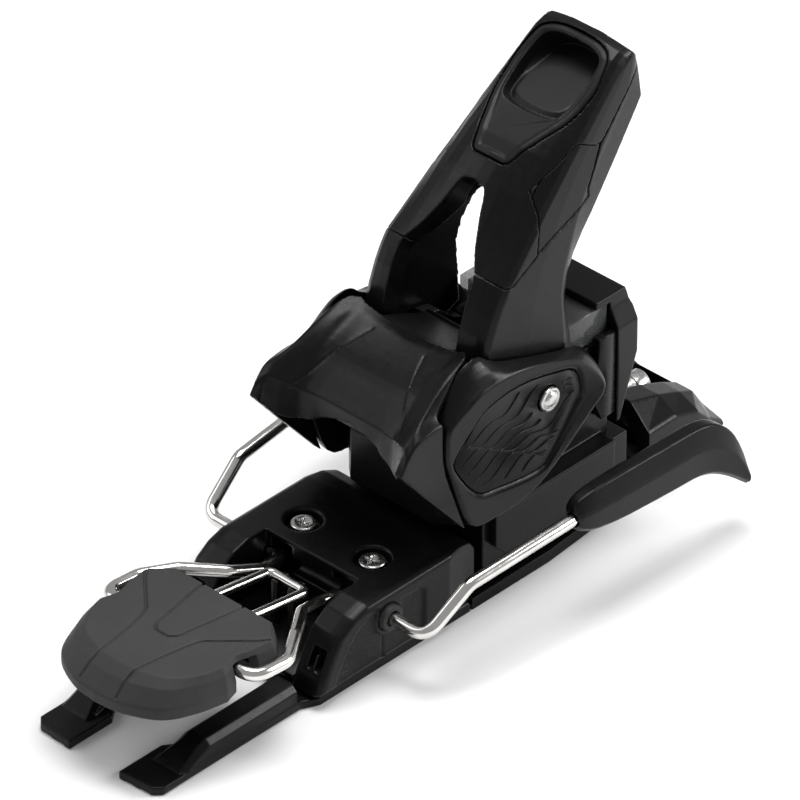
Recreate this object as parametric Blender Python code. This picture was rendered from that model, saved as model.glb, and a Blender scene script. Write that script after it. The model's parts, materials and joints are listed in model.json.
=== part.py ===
"""Heel piece of an alpine ski binding with its ski brake, one closed solid for each real piece.

Lengths below are millimetres and become metres in new_object().  +X is to the right seen from the
toe side, +Y points to the tail of the ski, +Z is up.  The origin lies on the ski, midway between
the two front screws.  The binding is closed on a boot and the brake is folded back.
"""
import math

import bpy
import bmesh
from mathutils import Vector

MM = 0.001

# Clearances
GAP = 0.4        # between pieces that are fastened together
RUN = 0.6        # between pieces that slide or turn on each other
ROUND = 20       # sides of a round piece

# Base plate with its two prongs
BASE_HALF = 33.2
BASE_THICK = 4.0
BASE_FRONT = -50.0
BASE_REAR = 33.0
PRONG_TIP = -122.0
PRONG_IN = 12.0
PRONG_OUT = 30.2
PRONG_PAD = 3.2
PRONG_PAD_LENGTH = 21.0
PRONG_RIB = 10.5

# Front screws
SCREW_X = 16.7
SCREW_HEAD = 9.6
SCREW_SHANK = 5.5
SCREW_BORE = 13.4

# Brake housing
HOUSE_HALF = 36.0
HOUSE_TOP = 32.6
RECESS_HALF = 22.4
RECESS_BACK = -13.0

# Brake wires: the axle lies along X
WIRE = 5.0
AXLE_Y = -11.4
AXLE_Z = 22.6
ARM_BEND_X = 53.5
ARM_END_X = 61.0
ARM_END_Y = 88.0
HOOK_Y = -80.0
HOOK_Z = 33.0
HOOK_IN = 17.0
HOOK_BEND = 4.0
BUSH_OUTER = 10.0
BUSH_LENGTH = 5.2

# Brake foot
FOOT_FRONT = 57.0
FOOT_TOP = 50.0
FOOT_REAR = 142.0

# Spring wire between the base and the pedal
SPRING_WIRE = 3.6
SPRING_HALF = 9.0
SPRING_Y = -25.0
SPRING_Z = 27.0

# Pedal
PEDAL_TOP = 38.4
PEDAL_RIM = 26.0
PEDAL_WALL = 3.0

# Track on the ski
REAR_SCREW_Y = 150.0
RAIL_FRONT = 34.0
RAIL_REAR = 174.0
RAIL_REAR_HALF = 28.4
RAIL_THICK = 5.0
TRACK_HALF = 20.0
TRACK_LIP = 3.0
TRACK_TOP = 13.0
TRACK_LIP_THICK = 3.5
RACK_PITCH = 4.0

# Worm screw for the length setting
WORM_Z = 19.8
WORM_RADIUS = 6.2
WORM_FRONT = 99.0
WORM_HEAD = 158.7

# Carriage
CARRIAGE_FRONT = 42.5
CARRIAGE_REAR = 118.0
CARRIAGE_HALF = 30.0
CARRIAGE_TOP = 33.4

# Lever: its side walls run from the axle to the tip, q is the distance to the axle's front
LEVER_LEAN = math.radians(48.3)
LEVER_HALF = 29.8
LEVER_TAPER = 0.1
LEVER_TAPER_FROM = 25.0
LEVER_WALL = 3.0
LEVER_FLANGE = LEVER_HALF - 12.2

# Heel housing: the lever's legs pass beside it
HEEL_HALF = LEVER_HALF - LEVER_WALL - 0.9
HEEL_FRONT = 27.5
HEEL_REAR = 112.0
HEEL_DECK = 60.3
BARREL_Z = 48.0
BARREL_RADIUS = 10.4

# Release spring
COIL_WIRE = 2.8
COIL_RADIUS = 8.0
COIL_TURNS = 6.0
COIL_FRONT = 66.0
COIL_REAR = 99.0

# Main axle of the heel cup and the lever
PIVOT_Y = 68.0
PIVOT_Z = 76.0
PIN = 8.0

# Heel cup: its cheeks stand outside the lever's legs
CHEEK_IN = LEVER_HALF + 0.8
CHEEK_OUT = CHEEK_IN + 7.4
CUP_HALF = CHEEK_OUT - 1.1
CUP_WALL = 3.7
PANEL_THICK = 1.0
PIN_HALF = CHEEK_OUT + 0.8

# Rear cover
COVER_HALF = LEVER_HALF + 0.2
COVER_TOP_HALF = HEEL_HALF + 0.1
COVER_TOP = 92.2
COVER_REAR = 123.0

BODIES = {
    "root": (None, (0.0, 0.0, 0.0)),
    "carriage": ("root", (0.0, 0.0, 0.0)),
    "worm": ("carriage", (0.0, WORM_HEAD, WORM_Z)),
    "housing": ("carriage", (0.0, 0.0, 0.0)),
    "din_screw": ("housing", (0.0, COVER_REAR, BARREL_Z)),
    "din_nut": ("housing", (0.0, 0.0, 0.0)),
    "piston": ("housing", (0.0, 0.0, 0.0)),
    "heel_cup": ("housing", (0.0, PIVOT_Y, PIVOT_Z)),
    "lever": ("heel_cup", (0.0, PIVOT_Y, PIVOT_Z)),
    "brake_arms": ("root", (0.0, AXLE_Y, AXLE_Z)),
    "pedal": ("brake_arms", (0.0, HOOK_Y, HOOK_Z)),
    "brake_link": ("root", (0.0, SPRING_Y, SPRING_Z)),
}

FINISHES = {
    "black_plastic": ((0.012, 0.012, 0.013), 0.42, 0.0),
    "soft_plastic": ((0.022, 0.022, 0.023), 0.62, 0.0),
    "dark_panel": ((0.008, 0.008, 0.009), 0.35, 0.0),
    "clear_plastic": ((0.20, 0.20, 0.20), 0.20, 0.0),
    "wire_steel": ((0.75, 0.74, 0.72), 0.18, 1.0),
    "screw_steel": ((0.60, 0.60, 0.60), 0.28, 1.0),
    "dark_steel": ((0.20, 0.20, 0.21), 0.35, 1.0),
}

EMPTIES = {}


# ---------------------------------------------------------------- tools

def clear_scene():
    for old in list(bpy.data.objects):
        bpy.data.objects.remove(old, do_unlink=True)


def make_bodies():
    for name, (parent, pivot) in BODIES.items():
        empty = bpy.data.objects.new("axis_" + name, None)
        bpy.context.collection.objects.link(empty)
        empty.empty_display_size = 0.01
        origin = Vector((0.0, 0.0, 0.0))
        if parent:
            empty.parent = EMPTIES[parent]
            origin = Vector(BODIES[parent][1])
        empty.location = (Vector(pivot) - origin) * MM
        EMPTIES[name] = empty


def finish_material(slot):
    material = bpy.data.materials.get(slot)
    if material is None:
        colour, roughness, metallic = FINISHES[slot]
        material = bpy.data.materials.new(slot)
        material.use_nodes = True
        shader = material.node_tree.nodes["Principled BSDF"]
        shader.inputs["Base Color"].default_value = (*colour, 1.0)
        shader.inputs["Roughness"].default_value = roughness
        shader.inputs["Metallic"].default_value = metallic
    return material


def new_object(name, body, slot, points, faces, smooth=False):
    """One closed mesh object from points in millimetres, hung on its body's axis."""
    pivot = Vector(BODIES[body][1])
    mesh = bpy.data.meshes.new(name)
    mesh.from_pydata([(Vector(p) - pivot) * MM for p in points], [], faces)
    shell = bmesh.new()
    shell.from_mesh(mesh)
    bmesh.ops.remove_doubles(shell, verts=shell.verts, dist=0.00001)
    bmesh.ops.recalc_face_normals(shell, faces=shell.faces)
    bmesh.ops.triangulate(shell, faces=[f for f in shell.faces if len(f.verts) > 4],
                          ngon_method="EAR_CLIP")
    shell.to_mesh(mesh)
    shell.free()
    mesh.materials.append(finish_material(slot))
    if smooth:
        mesh.shade_smooth()
        mesh.set_sharp_from_angle(angle=math.radians(35))
    thing = bpy.data.objects.new(name, mesh)
    bpy.context.collection.objects.link(thing)
    thing.parent = EMPTIES[body]
    return thing


def loft(name, body, slot, rings, smooth=False):
    """Closed solid through rings of equal length, with flat ends."""
    count = len(rings[0])
    points = [p for ring in rings for p in ring]
    faces = [tuple(range(count)), tuple(range(len(points) - count, len(points)))]
    for r in range(len(rings) - 1):
        for k in range(count):
            a = r * count + k
            b = r * count + (k + 1) % count
            faces.append((a, b, b + count, a + count))
    return new_object(name, body, slot, points, faces, smooth)


def value_at(limit, y, z):
    return limit(y, z) if callable(limit) else limit


def slab(name, body, slot, outline, x_low, x_high):
    """Outline in (Y, Z) between two X limits, which may be numbers or functions of (Y, Z)."""
    low = [(value_at(x_low, y, z), y, z) for y, z in outline]
    high = [(value_at(x_high, y, z), y, z) for y, z in outline]
    return loft(name, body, slot, [low, high])


def plate(name, body, slot, outline, z_low, z_high):
    """Outline in (X, Y) between two heights."""
    return loft(name, body, slot, [[(x, y, z) for x, y in outline] for z in (z_low, z_high)])


def box(name, body, slot, low, high):
    outline = [(low[0], low[1]), (high[0], low[1]), (high[0], high[1]), (low[0], high[1])]
    return plate(name, body, slot, outline, low[2], high[2])


def lathe(name, body, slot, profile, centre, axis, sides=ROUND, closed=False):
    """Profile of (radius, distance along the axis); closed profiles make rings."""
    ways = {"x": (Vector((0, 1, 0)), Vector((0, 0, 1)), Vector((1, 0, 0))),
            "y": (Vector((0, 0, 1)), Vector((1, 0, 0)), Vector((0, 1, 0))),
            "z": (Vector((1, 0, 0)), Vector((0, 1, 0)), Vector((0, 0, 1)))}
    u, v, w = ways[axis]
    rings = []
    for radius, height in profile:
        ring = []
        for k in range(sides):
            turn = 2.0 * math.pi * k / sides
            ring.append(Vector(centre) + (u * math.cos(turn) + v * math.sin(turn)) * radius
                        + w * height)
        rings.append(ring)
    if not closed:
        return loft(name, body, slot, rings, smooth=True)
    points = [p for ring in rings for p in ring]
    faces = []
    for r in range(len(rings)):
        for k in range(sides):
            a = r * sides + k
            b = r * sides + (k + 1) % sides
            c = ((r + 1) % len(rings)) * sides
            faces.append((a, b, c + (k + 1) % sides, c + k))
    return new_object(name, body, slot, points, faces, smooth=True)


def rod(name, body, slot, radius, centre, axis, low, high, sides=ROUND):
    return lathe(name, body, slot, [(radius, low), (radius, high)], centre, axis, sides)


def rounded_path(corners, bend, steps=6):
    """Polyline whose corners are replaced by arcs of about the bend radius."""
    corners = [Vector(c) for c in corners]
    path = [corners[0]]
    for before, corner, after in zip(corners, corners[1:], corners[2:]):
        back = before - corner
        ahead = after - corner
        angle = back.angle(ahead)
        reach = min(bend / math.tan(angle / 2.0), back.length * 0.48, ahead.length * 0.48)
        start = corner + back.normalized() * reach
        stop = corner + ahead.normalized() * reach
        for k in range(steps + 1):
            t = k / steps
            path.append(start * (1 - t) ** 2 + corner * 2 * t * (1 - t) + stop * t ** 2)
    path.append(corners[-1])
    return path


def tube(name, body, slot, path, radius, sides=10):
    """Round bar along a path, swept with a frame that does not twist."""
    rings = []
    side = None
    for k, here in enumerate(path):
        before = path[max(k - 1, 0)]
        after = path[min(k + 1, len(path) - 1)]
        along = (after - before).normalized()
        if side is None:
            side = along.orthogonal().normalized()
        side = (side - along * side.dot(along)).normalized()
        other = along.cross(side)
        rings.append([here + (side * math.cos(2 * math.pi * n / sides)
                              + other * math.sin(2 * math.pi * n / sides)) * radius
                      for n in range(sides)])
    return loft(name, body, slot, rings, smooth=True)


def tool(thing):
    """A cutter or a piece to add: it shapes another object and is not a piece itself."""
    thing.name = "tool_" + thing.name
    thing.hide_render = True
    thing.display_type = "WIRE"
    return thing


def combine(thing, other, operation):
    change = thing.modifiers.new(operation.lower(), "BOOLEAN")
    change.operation = operation
    change.solver = "EXACT"
    change.object = tool(other)


def cut(thing, *others):
    for other in others:
        combine(thing, other, "DIFFERENCE")


def add(thing, *others):
    for other in others:
        combine(thing, other, "UNION")


def mirrored(outline):
    """Right half of an (X, Y) outline, front to rear, completed to the left."""
    return outline + [(-x, y) for x, y in reversed(outline)]


def offset(outline, distance):
    """Outline grown outwards by a distance; negative shrinks it."""
    count = len(outline)
    area = sum(outline[k][0] * outline[(k + 1) % count][1]
               - outline[(k + 1) % count][0] * outline[k][1] for k in range(count))
    sign = 1.0 if area > 0 else -1.0
    grown = []
    for k in range(count):
        before, here, after = outline[k - 1], outline[k], outline[(k + 1) % count]
        first = Vector((here[0] - before[0], here[1] - before[1])).normalized()
        second = Vector((after[0] - here[0], after[1] - here[1])).normalized()
        n1 = Vector((first.y, -first.x)) * sign
        n2 = Vector((second.y, -second.x)) * sign
        middle = (n1 + n2).normalized()
        reach = distance / max(middle.dot(n1), 0.4)
        grown.append((here[0] + middle.x * reach, here[1] + middle.y * reach))
    return grown


SIDES = (("left", -1.0), ("right", 1.0))


# ---------------------------------------------------------------- base and brake housing

def prong_ring(y, inner, outer, height, sign):
    """Cross-section of a prong's rib at y."""
    slope = min(2.5, height * 0.4)
    low = 0.5
    half = [(inner, low), (outer, low), (outer, height - slope), (outer - slope, height),
            (inner + slope, height), (inner, height - slope)]
    return [(sign * x, y, z) for x, z in half]


def base_fork():
    pad_end = PRONG_TIP + PRONG_PAD_LENGTH
    rib_in = PRONG_IN + 5.0
    right = [(PRONG_IN - 3.0, BASE_FRONT + 4.0), (rib_in, BASE_FRONT), (rib_in, pad_end + 7.0),
             (PRONG_IN, pad_end), (PRONG_IN, PRONG_TIP), (PRONG_OUT - 3.0, PRONG_TIP + 1.0),
             (PRONG_OUT, PRONG_TIP + 4.0), (PRONG_OUT, BASE_FRONT),
             (BASE_HALF, BASE_FRONT + 6.0), (BASE_HALF, BASE_REAR)]
    fork = plate("base_fork", "root", "black_plastic", mirrored(right), 0.0, PRONG_PAD)
    floor = [(BASE_HALF - 0.5, BASE_FRONT + 6.5), (BASE_HALF - 0.5, BASE_REAR - 0.5)]
    add(fork, plate("floor", "root", "black_plastic", mirrored(floor), 1.0, BASE_THICK))
    for side, sign in SIDES:
        rings = [prong_ring(pad_end - 8.0, rib_in - 2.0, PRONG_OUT - 0.5, PRONG_PAD + 0.4, sign),
                 prong_ring(pad_end + 2.0, rib_in + 0.5, PRONG_OUT - 0.5, PRONG_RIB - 1.5, sign),
                 prong_ring(pad_end + 6.0, rib_in + 0.5, PRONG_OUT - 0.5, PRONG_RIB, sign),
                 prong_ring(BASE_FRONT - 1.0, rib_in + 0.5, PRONG_OUT - 0.5, PRONG_RIB, sign)]
        add(fork, loft("rib_" + side, "root", "black_plastic", rings))
    for side, sign in SIDES:
        cut(fork, rod("fork_hole_" + side, "root", "black_plastic", SCREW_SHANK / 2 + GAP,
                      (sign * SCREW_X, 0, 0), "z", -1.0, BASE_THICK + 1.0, 16))
    return fork


def brake_base():
    """Floor of the recess, with two posts that carry the spring wire's closed end."""
    low = BASE_THICK + GAP
    half = RECESS_HALF - GAP
    floor = box("brake_base", "root", "black_plastic", (-half, -46.0, low),
                (half, RECESS_BACK - GAP, low + 4.0))
    radius = SPRING_WIRE / 2
    for side, sign in SIDES:
        inner, outer = sorted((sign * 2.5, sign * 5.5))
        add(floor, box("post_" + side, "root", "black_plastic",
                       (inner, SPRING_Y - 3.5, low + 2.0), (outer, SPRING_Y + 3.5, SPRING_Z)))
    cut(floor, rod("seat", "root", "black_plastic", radius + GAP, (0, SPRING_Y, SPRING_Z),
                   "x", -8.0, 8.0, 12))
    return floor


def house_profile():
    low = BASE_THICK + GAP
    return [(-47.0, low), (-44.5, 11.0), (-40.0, 18.5), (-35.0, 26.5), (-29.0, 30.5),
            (-21.0, HOUSE_TOP), (19.0, HOUSE_TOP), (27.0, 27.0), (BASE_REAR, 19.0),
            (BASE_REAR, low)]


def brake_housing():
    house = slab("brake_housing", "root", "black_plastic", house_profile(),
                 -HOUSE_HALF, HOUSE_HALF)
    low = BASE_THICK
    wire = WIRE / 2
    cut(house, box("recess", "root", "black_plastic", (-RECESS_HALF, -60.0, low - 1.0),
                   (RECESS_HALF, RECESS_BACK, HOUSE_TOP + 6.0)))
    cut(house, rod("axle_bore", "root", "black_plastic", wire + RUN, (0, AXLE_Y, AXLE_Z), "x",
                   -HOUSE_HALF - 2.0, HOUSE_HALF + 2.0, 16))
    for side, sign in SIDES:
        inner, outer = sorted((sign * 10.5, sign * 19.6))
        cut(house, box("slot_" + side, "root", "black_plastic",
                       (inner, RECESS_BACK - 1.0, AXLE_Z - wire - 1.8),
                       (outer, AXLE_Y + wire + 1.2, AXLE_Z + wire + 5.0)))
        cut(house, rod("bush_bore_" + side, "root", "black_plastic", BUSH_OUTER / 2 + GAP,
                       (sign * HOUSE_HALF, AXLE_Y, AXLE_Z), "x", -3.6, 3.6, ROUND))
        cut(house, rod("screw_bore_" + side, "root", "black_plastic", SCREW_SHANK / 2 + GAP,
                       (sign * SCREW_X, 0, 0), "z", low - 1.0, HOUSE_TOP + 1.0, 16))
        cut(house, rod("counterbore_" + side, "root", "black_plastic", SCREW_BORE / 2,
                       (sign * SCREW_X, 0, 0), "z", HOUSE_TOP - 4.6, HOUSE_TOP + 1.0, 24))
        corner = [(sign * (HOUSE_HALF + 1.0), 9.0), (sign * (HOUSE_HALF - 8.0), BASE_REAR + 1.0),
                  (sign * (HOUSE_HALF + 1.0), BASE_REAR + 1.0)]
        cut(house, plate("corner_" + side, "root", "black_plastic", corner, 0.0, HOUSE_TOP + 1.0))
    return house


def mounting_screw(name, x, y, top, tail):
    """Countersunk screw with a cross recess; its tail ends just above the ski."""
    head = SCREW_HEAD / 2
    shank = SCREW_SHANK / 2
    profile = [(shank, tail), (shank, top - 3.4), (head - 0.6, top - 1.6), (head, top - 1.0),
               (head, top - 0.5), (head - 0.7, top)]
    screw = lathe(name, "root", "screw_steel", profile, (x, y, 0), "z", ROUND)
    for k, (wide, deep) in enumerate(((2.7, 0.7), (0.7, 2.7))):
        cut(screw, box(name + "_cross_%d" % k, "root", "screw_steel",
                       (x - wide, y - deep, top - 1.6), (x + wide, y + deep, top + 1.0)))
    return screw


def axle_bush(side, sign):
    inner = WIRE / 2 + GAP
    outer = BUSH_OUTER / 2
    start = HOUSE_HALF - 3.2
    profile = [(inner, 0.0), (outer, 0.0), (outer, BUSH_LENGTH - 0.8),
               (outer - 0.8, BUSH_LENGTH), (inner, BUSH_LENGTH)]
    if sign < 0:
        profile = [(r, -h) for r, h in profile]
    return lathe("axle_bush_" + side, "root", "soft_plastic", profile,
                 (sign * start, AXLE_Y, AXLE_Z), "x", ROUND, closed=True)


# ---------------------------------------------------------------- brake

def arm_corners(sign):
    """Hand-set route of one arm wire, from its hook in the pedal to its end in the foot."""
    route = [(HOOK_IN, HOOK_Y, HOOK_Z), (36.5, HOOK_Y, HOOK_Z), (36.5, -63.0, 31.5),
             (28.5, -51.0, 32.0), (17.5, -36.5, 28.5), (14.5, -24.0, 24.5),
             (15.0, AXLE_Y, AXLE_Z), (ARM_BEND_X, AXLE_Y, AXLE_Z),
             (56.0, 7.9, 36.3), (ARM_END_X, ARM_END_Y, 42.0)]
    return [(sign * x, y, z) for x, y, z in route]


def brake_wire(side, sign):
    return tube("brake_wire_" + side, "brake_arms", "wire_steel",
                rounded_path(arm_corners(sign), 7.0), WIRE / 2)


def foot_rings(sign):
    """Sections of the plastic foot: inner X, outer X, underside, top, and bevel."""
    rows = [(FOOT_FRONT, 55.6, 62.6, 35.0, 46.5, 1.5), (FOOT_FRONT + 9.0, 56.0, 64.4, 31.5, 49.4, 2.5),
            (FOOT_FRONT + 32.0, 56.8, 65.6, 30.0, FOOT_TOP, 3.0),
            (FOOT_REAR - 24.0, 57.8, 66.6, 29.5, FOOT_TOP, 3.0),
            (FOOT_REAR - 14.0, 58.4, 67.4, 26.0, 48.0, 3.0),
            (FOOT_REAR - 7.0, 59.6, 68.2, 20.5, 41.0, 2.5), (FOOT_REAR, 62.0, 69.0, 15.0, 21.0, 1.5)]
    rings = []
    for y, inner, outer, low, top, bevel in rows:
        half = [(inner, low), (outer - bevel, low), (outer, low + bevel), (outer, top - 2 * bevel),
                (outer - bevel, top), (inner + 0.5, top), (inner, top - 1.0)]
        rings.append([(sign * x, y, z) for x, z in half])
    return rings


def brake_foot(side, sign):
    foot = loft("brake_foot_" + side, "brake_arms", "black_plastic", foot_rings(sign))
    cut(foot, tube("socket_" + side, "brake_arms", "black_plastic",
                   rounded_path(arm_corners(sign)[-3:-1] + [(sign * (ARM_END_X + 0.07),
                                ARM_END_Y + 1.2, 42.08)], 7.0), WIRE / 2 + GAP))
    return foot


def brake_spring_wire():
    """U of spring wire: it turns in the base posts and its legs reach under the pedal."""
    corners = [(-SPRING_HALF, -70.0, 30.6), (-SPRING_HALF, -53.0, 31.2),
               (-SPRING_HALF, SPRING_Y, SPRING_Z), (SPRING_HALF, SPRING_Y, SPRING_Z),
               (SPRING_HALF, -53.0, 31.2), (SPRING_HALF, -70.0, 30.6)]
    return tube("brake_spring_wire", "brake_link", "wire_steel", rounded_path(corners, 3.0, 4),
                SPRING_WIRE / 2, 8)


PEDAL_TOP_HALF = [(23.2, -57.4), (30.6, -64.8), (29.4, -74.1), (27.6, -80.0), (28.4, -84.0),
                  (30.0, -87.5), (22.0, -104.7), (8.7, -108.7)]
PEDAL_RIM_HALF = [(25.0, -56.4), (33.2, -64.5), (32.4, -74.0), (30.8, -80.0), (31.8, -84.5),
                  (33.8, -89.0), (26.5, -112.0), (10.0, -120.6)]


def pedal_cover():
    rim = mirrored(PEDAL_RIM_HALF)
    top = mirrored(PEDAL_TOP_HALF)
    waist = [((a[0] * 0.25 + b[0] * 0.75), (a[1] * 0.25 + b[1] * 0.75)) for a, b in zip(top, rim)]
    rings = [[(x, y, PEDAL_RIM) for x, y in rim],
             [(x, y, PEDAL_RIM + 4.0) for x, y in rim],
             [(x, y, PEDAL_TOP - 3.4) for x, y in waist],
             [(x, y, PEDAL_TOP) for x, y in top]]
    cover = loft("pedal_cover", "pedal", "soft_plastic", rings)
    inner = offset(top, -PEDAL_WALL + 1.0)
    cut(cover, plate("hollow", "pedal", "soft_plastic", inner, PEDAL_RIM - 1.0,
                     PEDAL_TOP - PEDAL_WALL))
    for side, sign in SIDES:
        near, far = sorted((sign * (HOOK_IN - 2.0), sign * 42.0))
        reach = WIRE / 2 + RUN
        cut(cover, box("hook_slot_" + side, "pedal", "soft_plastic",
                       (near, HOOK_Y - reach, PEDAL_RIM - 1.0),
                       (far, HOOK_Y + reach + HOOK_BEND, HOOK_Z + reach)))
        near, far = sorted((sign * 5.0, sign * 13.0))
        cut(cover, box("leg_slot_" + side, "pedal", "soft_plastic",
                       (near, -62.0, PEDAL_RIM - 1.0), (far, -50.0, 34.6)))
    return cover


def pedal_base():
    """Plate inside the pedal with the eyes that turn on the arm hooks."""
    half = [(14.0, -72.0), (22.0, -74.0), (22.0, -92.0), (16.0, -101.0)]
    low = PEDAL_RIM + 1.5
    high = PEDAL_TOP - PEDAL_WALL - GAP
    base = plate("pedal_base", "pedal", "black_plastic", mirrored(half), low, high)
    cut(base, rod("eyes", "pedal", "black_plastic", WIRE / 2 + GAP - 0.1, (0, HOOK_Y, HOOK_Z - 0.6),
                  "x", -30.0, 30.0, 16))
    reach = WIRE / 2 + GAP - 0.1
    cut(base, box("eye_mouth", "pedal", "black_plastic", (-30.0, HOOK_Y - reach, HOOK_Z - 0.6),
                  (30.0, HOOK_Y + reach, high + 1.0)))
    return base


# ---------------------------------------------------------------- track and carriage

def rail_half_width(y):
    straight = RAIL_FRONT + 40.0
    narrow = RAIL_REAR - 45.0
    if y <= straight:
        return BASE_HALF
    if y >= narrow:
        return RAIL_REAR_HALF
    return BASE_HALF + (RAIL_REAR_HALF - BASE_HALF) * (y - straight) / (narrow - straight)


def track_rail():
    stations = [RAIL_FRONT, RAIL_FRONT + 40.0, RAIL_REAR - 45.0, RAIL_REAR - 2.0]
    right = [(rail_half_width(y), y) for y in stations]
    rail = plate("track_rail", "root", "black_plastic", mirrored(right), 0.0, RAIL_THICK)
    front = RAIL_FRONT + 5.0
    rear = RAIL_REAR - 46.0
    lip = TRACK_HALF + TRACK_LIP
    under = TRACK_TOP - TRACK_LIP_THICK
    profile = [(TRACK_HALF, RAIL_THICK - 1.0), (TRACK_HALF, under), (lip, under),
               (lip, TRACK_TOP), (-lip, TRACK_TOP), (-lip, under), (-TRACK_HALF, under),
               (-TRACK_HALF, RAIL_THICK - 1.0)]
    add(rail, loft("track", "root", "black_plastic",
                   [[(x, y, z) for x, z in profile] for y in (front, rear)]))
    for side, sign in SIDES:
        centre = (sign * SCREW_X, REAR_SCREW_Y, 0)
        cut(rail, rod("rear_hole_" + side, "root", "black_plastic", SCREW_SHANK / 2 + GAP,
                      centre, "z", -1.0, RAIL_THICK + 1.0, 16))
        cut(rail, rod("rear_seat_" + side, "root", "black_plastic", SCREW_HEAD / 2 + GAP,
                      centre, "z", RAIL_THICK - 3.6, RAIL_THICK + 1.0, ROUND))
    count = int((rear - WORM_FRONT - 2.0) / RACK_PITCH) + 3
    for k in range(count):
        y = rear - 4.0 - k * RACK_PITCH
        cut(rail, box("rack_%02d" % k, "root", "black_plastic", (-6.0, y, TRACK_TOP - 3.0),
                      (6.0, y + RACK_PITCH / 2, TRACK_TOP + 1.0)))
    return rail


def rail_end_block():
    """Sloping end of the track, with a channel for the worm screw and a square notch."""
    low = RAIL_THICK + GAP
    front = RAIL_REAR - 43.0
    rows = [(front, 19.5, 29.0, 34.0, 25.0), (front + 15.0, 19.5, 28.8, 29.5, 25.0),
            (front + 27.0, 19.0, 28.4, 24.5, 21.0), (RAIL_REAR - 8.0, 18.0, 27.6, 20.5, 13.0),
            (RAIL_REAR, 16.0, 26.5, 10.0, 7.5)]
    rings = []
    for y, flat, wide, top, shoulder in rows:
        ring = [(-wide, low), (wide, low), (wide, shoulder - 1.0), (wide - 1.0, shoulder),
                (flat, top), (-flat, top), (-wide + 1.0, shoulder), (-wide, shoulder - 1.0)]
        rings.append([(x, y, z) for x, z in ring])
    block = loft("rail_end_block", "root", "black_plastic", rings)
    cut(block, box("channel", "root", "black_plastic", (-10.0, front - 1.0, WORM_Z - 8.5),
                   (10.0, RAIL_REAR - 6.0, 40.0)))
    under = [(23.0, 0.0), (23.0, 16.0), (17.0, 26.0), (-17.0, 26.0), (-23.0, 16.0), (-23.0, 0.0)]
    cut(block, loft("hollow", "root", "black_plastic",
                    [[(x, y, z) for x, z in under] for y in (front - 1.0, front + 12.0)]))
    return block


def worm_screw():
    """Threaded screw under the carriage; its head faces the tail of the ski."""
    root = WORM_RADIUS - 1.8
    profile = [(root, WORM_FRONT)]
    turns = 5
    for k in range(turns):
        start = WORM_FRONT + 1.0 + k * RACK_PITCH
        profile += [(root, start), (WORM_RADIUS, start + 1.1), (WORM_RADIUS, start + 1.7),
                    (root, start + 2.8)]
    profile += [(root, WORM_HEAD - 6.0), (5.2, WORM_HEAD - 6.0), (5.2, WORM_HEAD - 0.6),
                (4.6, WORM_HEAD)]
    worm = lathe("worm_screw", "worm", "screw_steel", profile, (0, 0, WORM_Z), "y", 16)
    for k, (wide, deep) in enumerate(((3.0, 0.7), (0.7, 3.0))):
        cut(worm, box("worm_cross_%d" % k, "worm", "screw_steel",
                      (-wide, WORM_HEAD - 2.0, WORM_Z - deep),
                      (wide, WORM_HEAD + 1.0, WORM_Z + deep)))
    return worm


def carriage():
    low = RAIL_THICK + GAP
    body = box("carriage", "carriage", "black_plastic", (-CARRIAGE_HALF, CARRIAGE_FRONT, low),
               (CARRIAGE_HALF, CARRIAGE_REAR, CARRIAGE_TOP))
    neck = TRACK_HALF + RUN
    wide = TRACK_HALF + TRACK_LIP + RUN
    under = TRACK_TOP - TRACK_LIP_THICK - RUN
    top = TRACK_TOP + RUN
    slot = [(neck, low - 1.0), (neck, under), (wide, under), (wide, top), (-wide, top),
            (-wide, under), (-neck, under), (-neck, low - 1.0)]
    cut(body, loft("t_slot", "carriage", "black_plastic",
                   [[(x, y, z) for x, z in slot]
                    for y in (CARRIAGE_FRONT - 1.0, CARRIAGE_REAR + 1.0)]))
    cut(body, box("spring_trough", "carriage", "black_plastic", (-7.5, 49.0, 19.0),
                  (7.5, 95.0, CARRIAGE_TOP + 1.0)))
    cut(body, rod("worm_bore", "carriage", "black_plastic", WORM_RADIUS + RUN, (0, 0, WORM_Z),
                  "y", WORM_FRONT - RUN, CARRIAGE_REAR + 1.0, 20))
    return body


def coil(name, body, radius, wire, turns, centre, start, stop, sides=6, steps=12):
    """Compression spring along Y; its ends are plain."""
    path = []
    count = int(turns * steps)
    for k in range(count + 1):
        turn = 2 * math.pi * turns * k / count
        path.append(Vector((centre[0] + radius * math.cos(turn),
                            start + wire / 2 + (stop - start - wire) * k / count,
                            centre[1] + radius * math.sin(turn))))
    return tube(name, body, "dark_steel", path, wire / 2, sides)


def pressure_spring():
    return coil("pressure_spring", "carriage", 4.4, 1.8, 5.0, (0.0, 26.0), 61.0, 94.0, 6, 10)


# ---------------------------------------------------------------- heel housing

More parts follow.
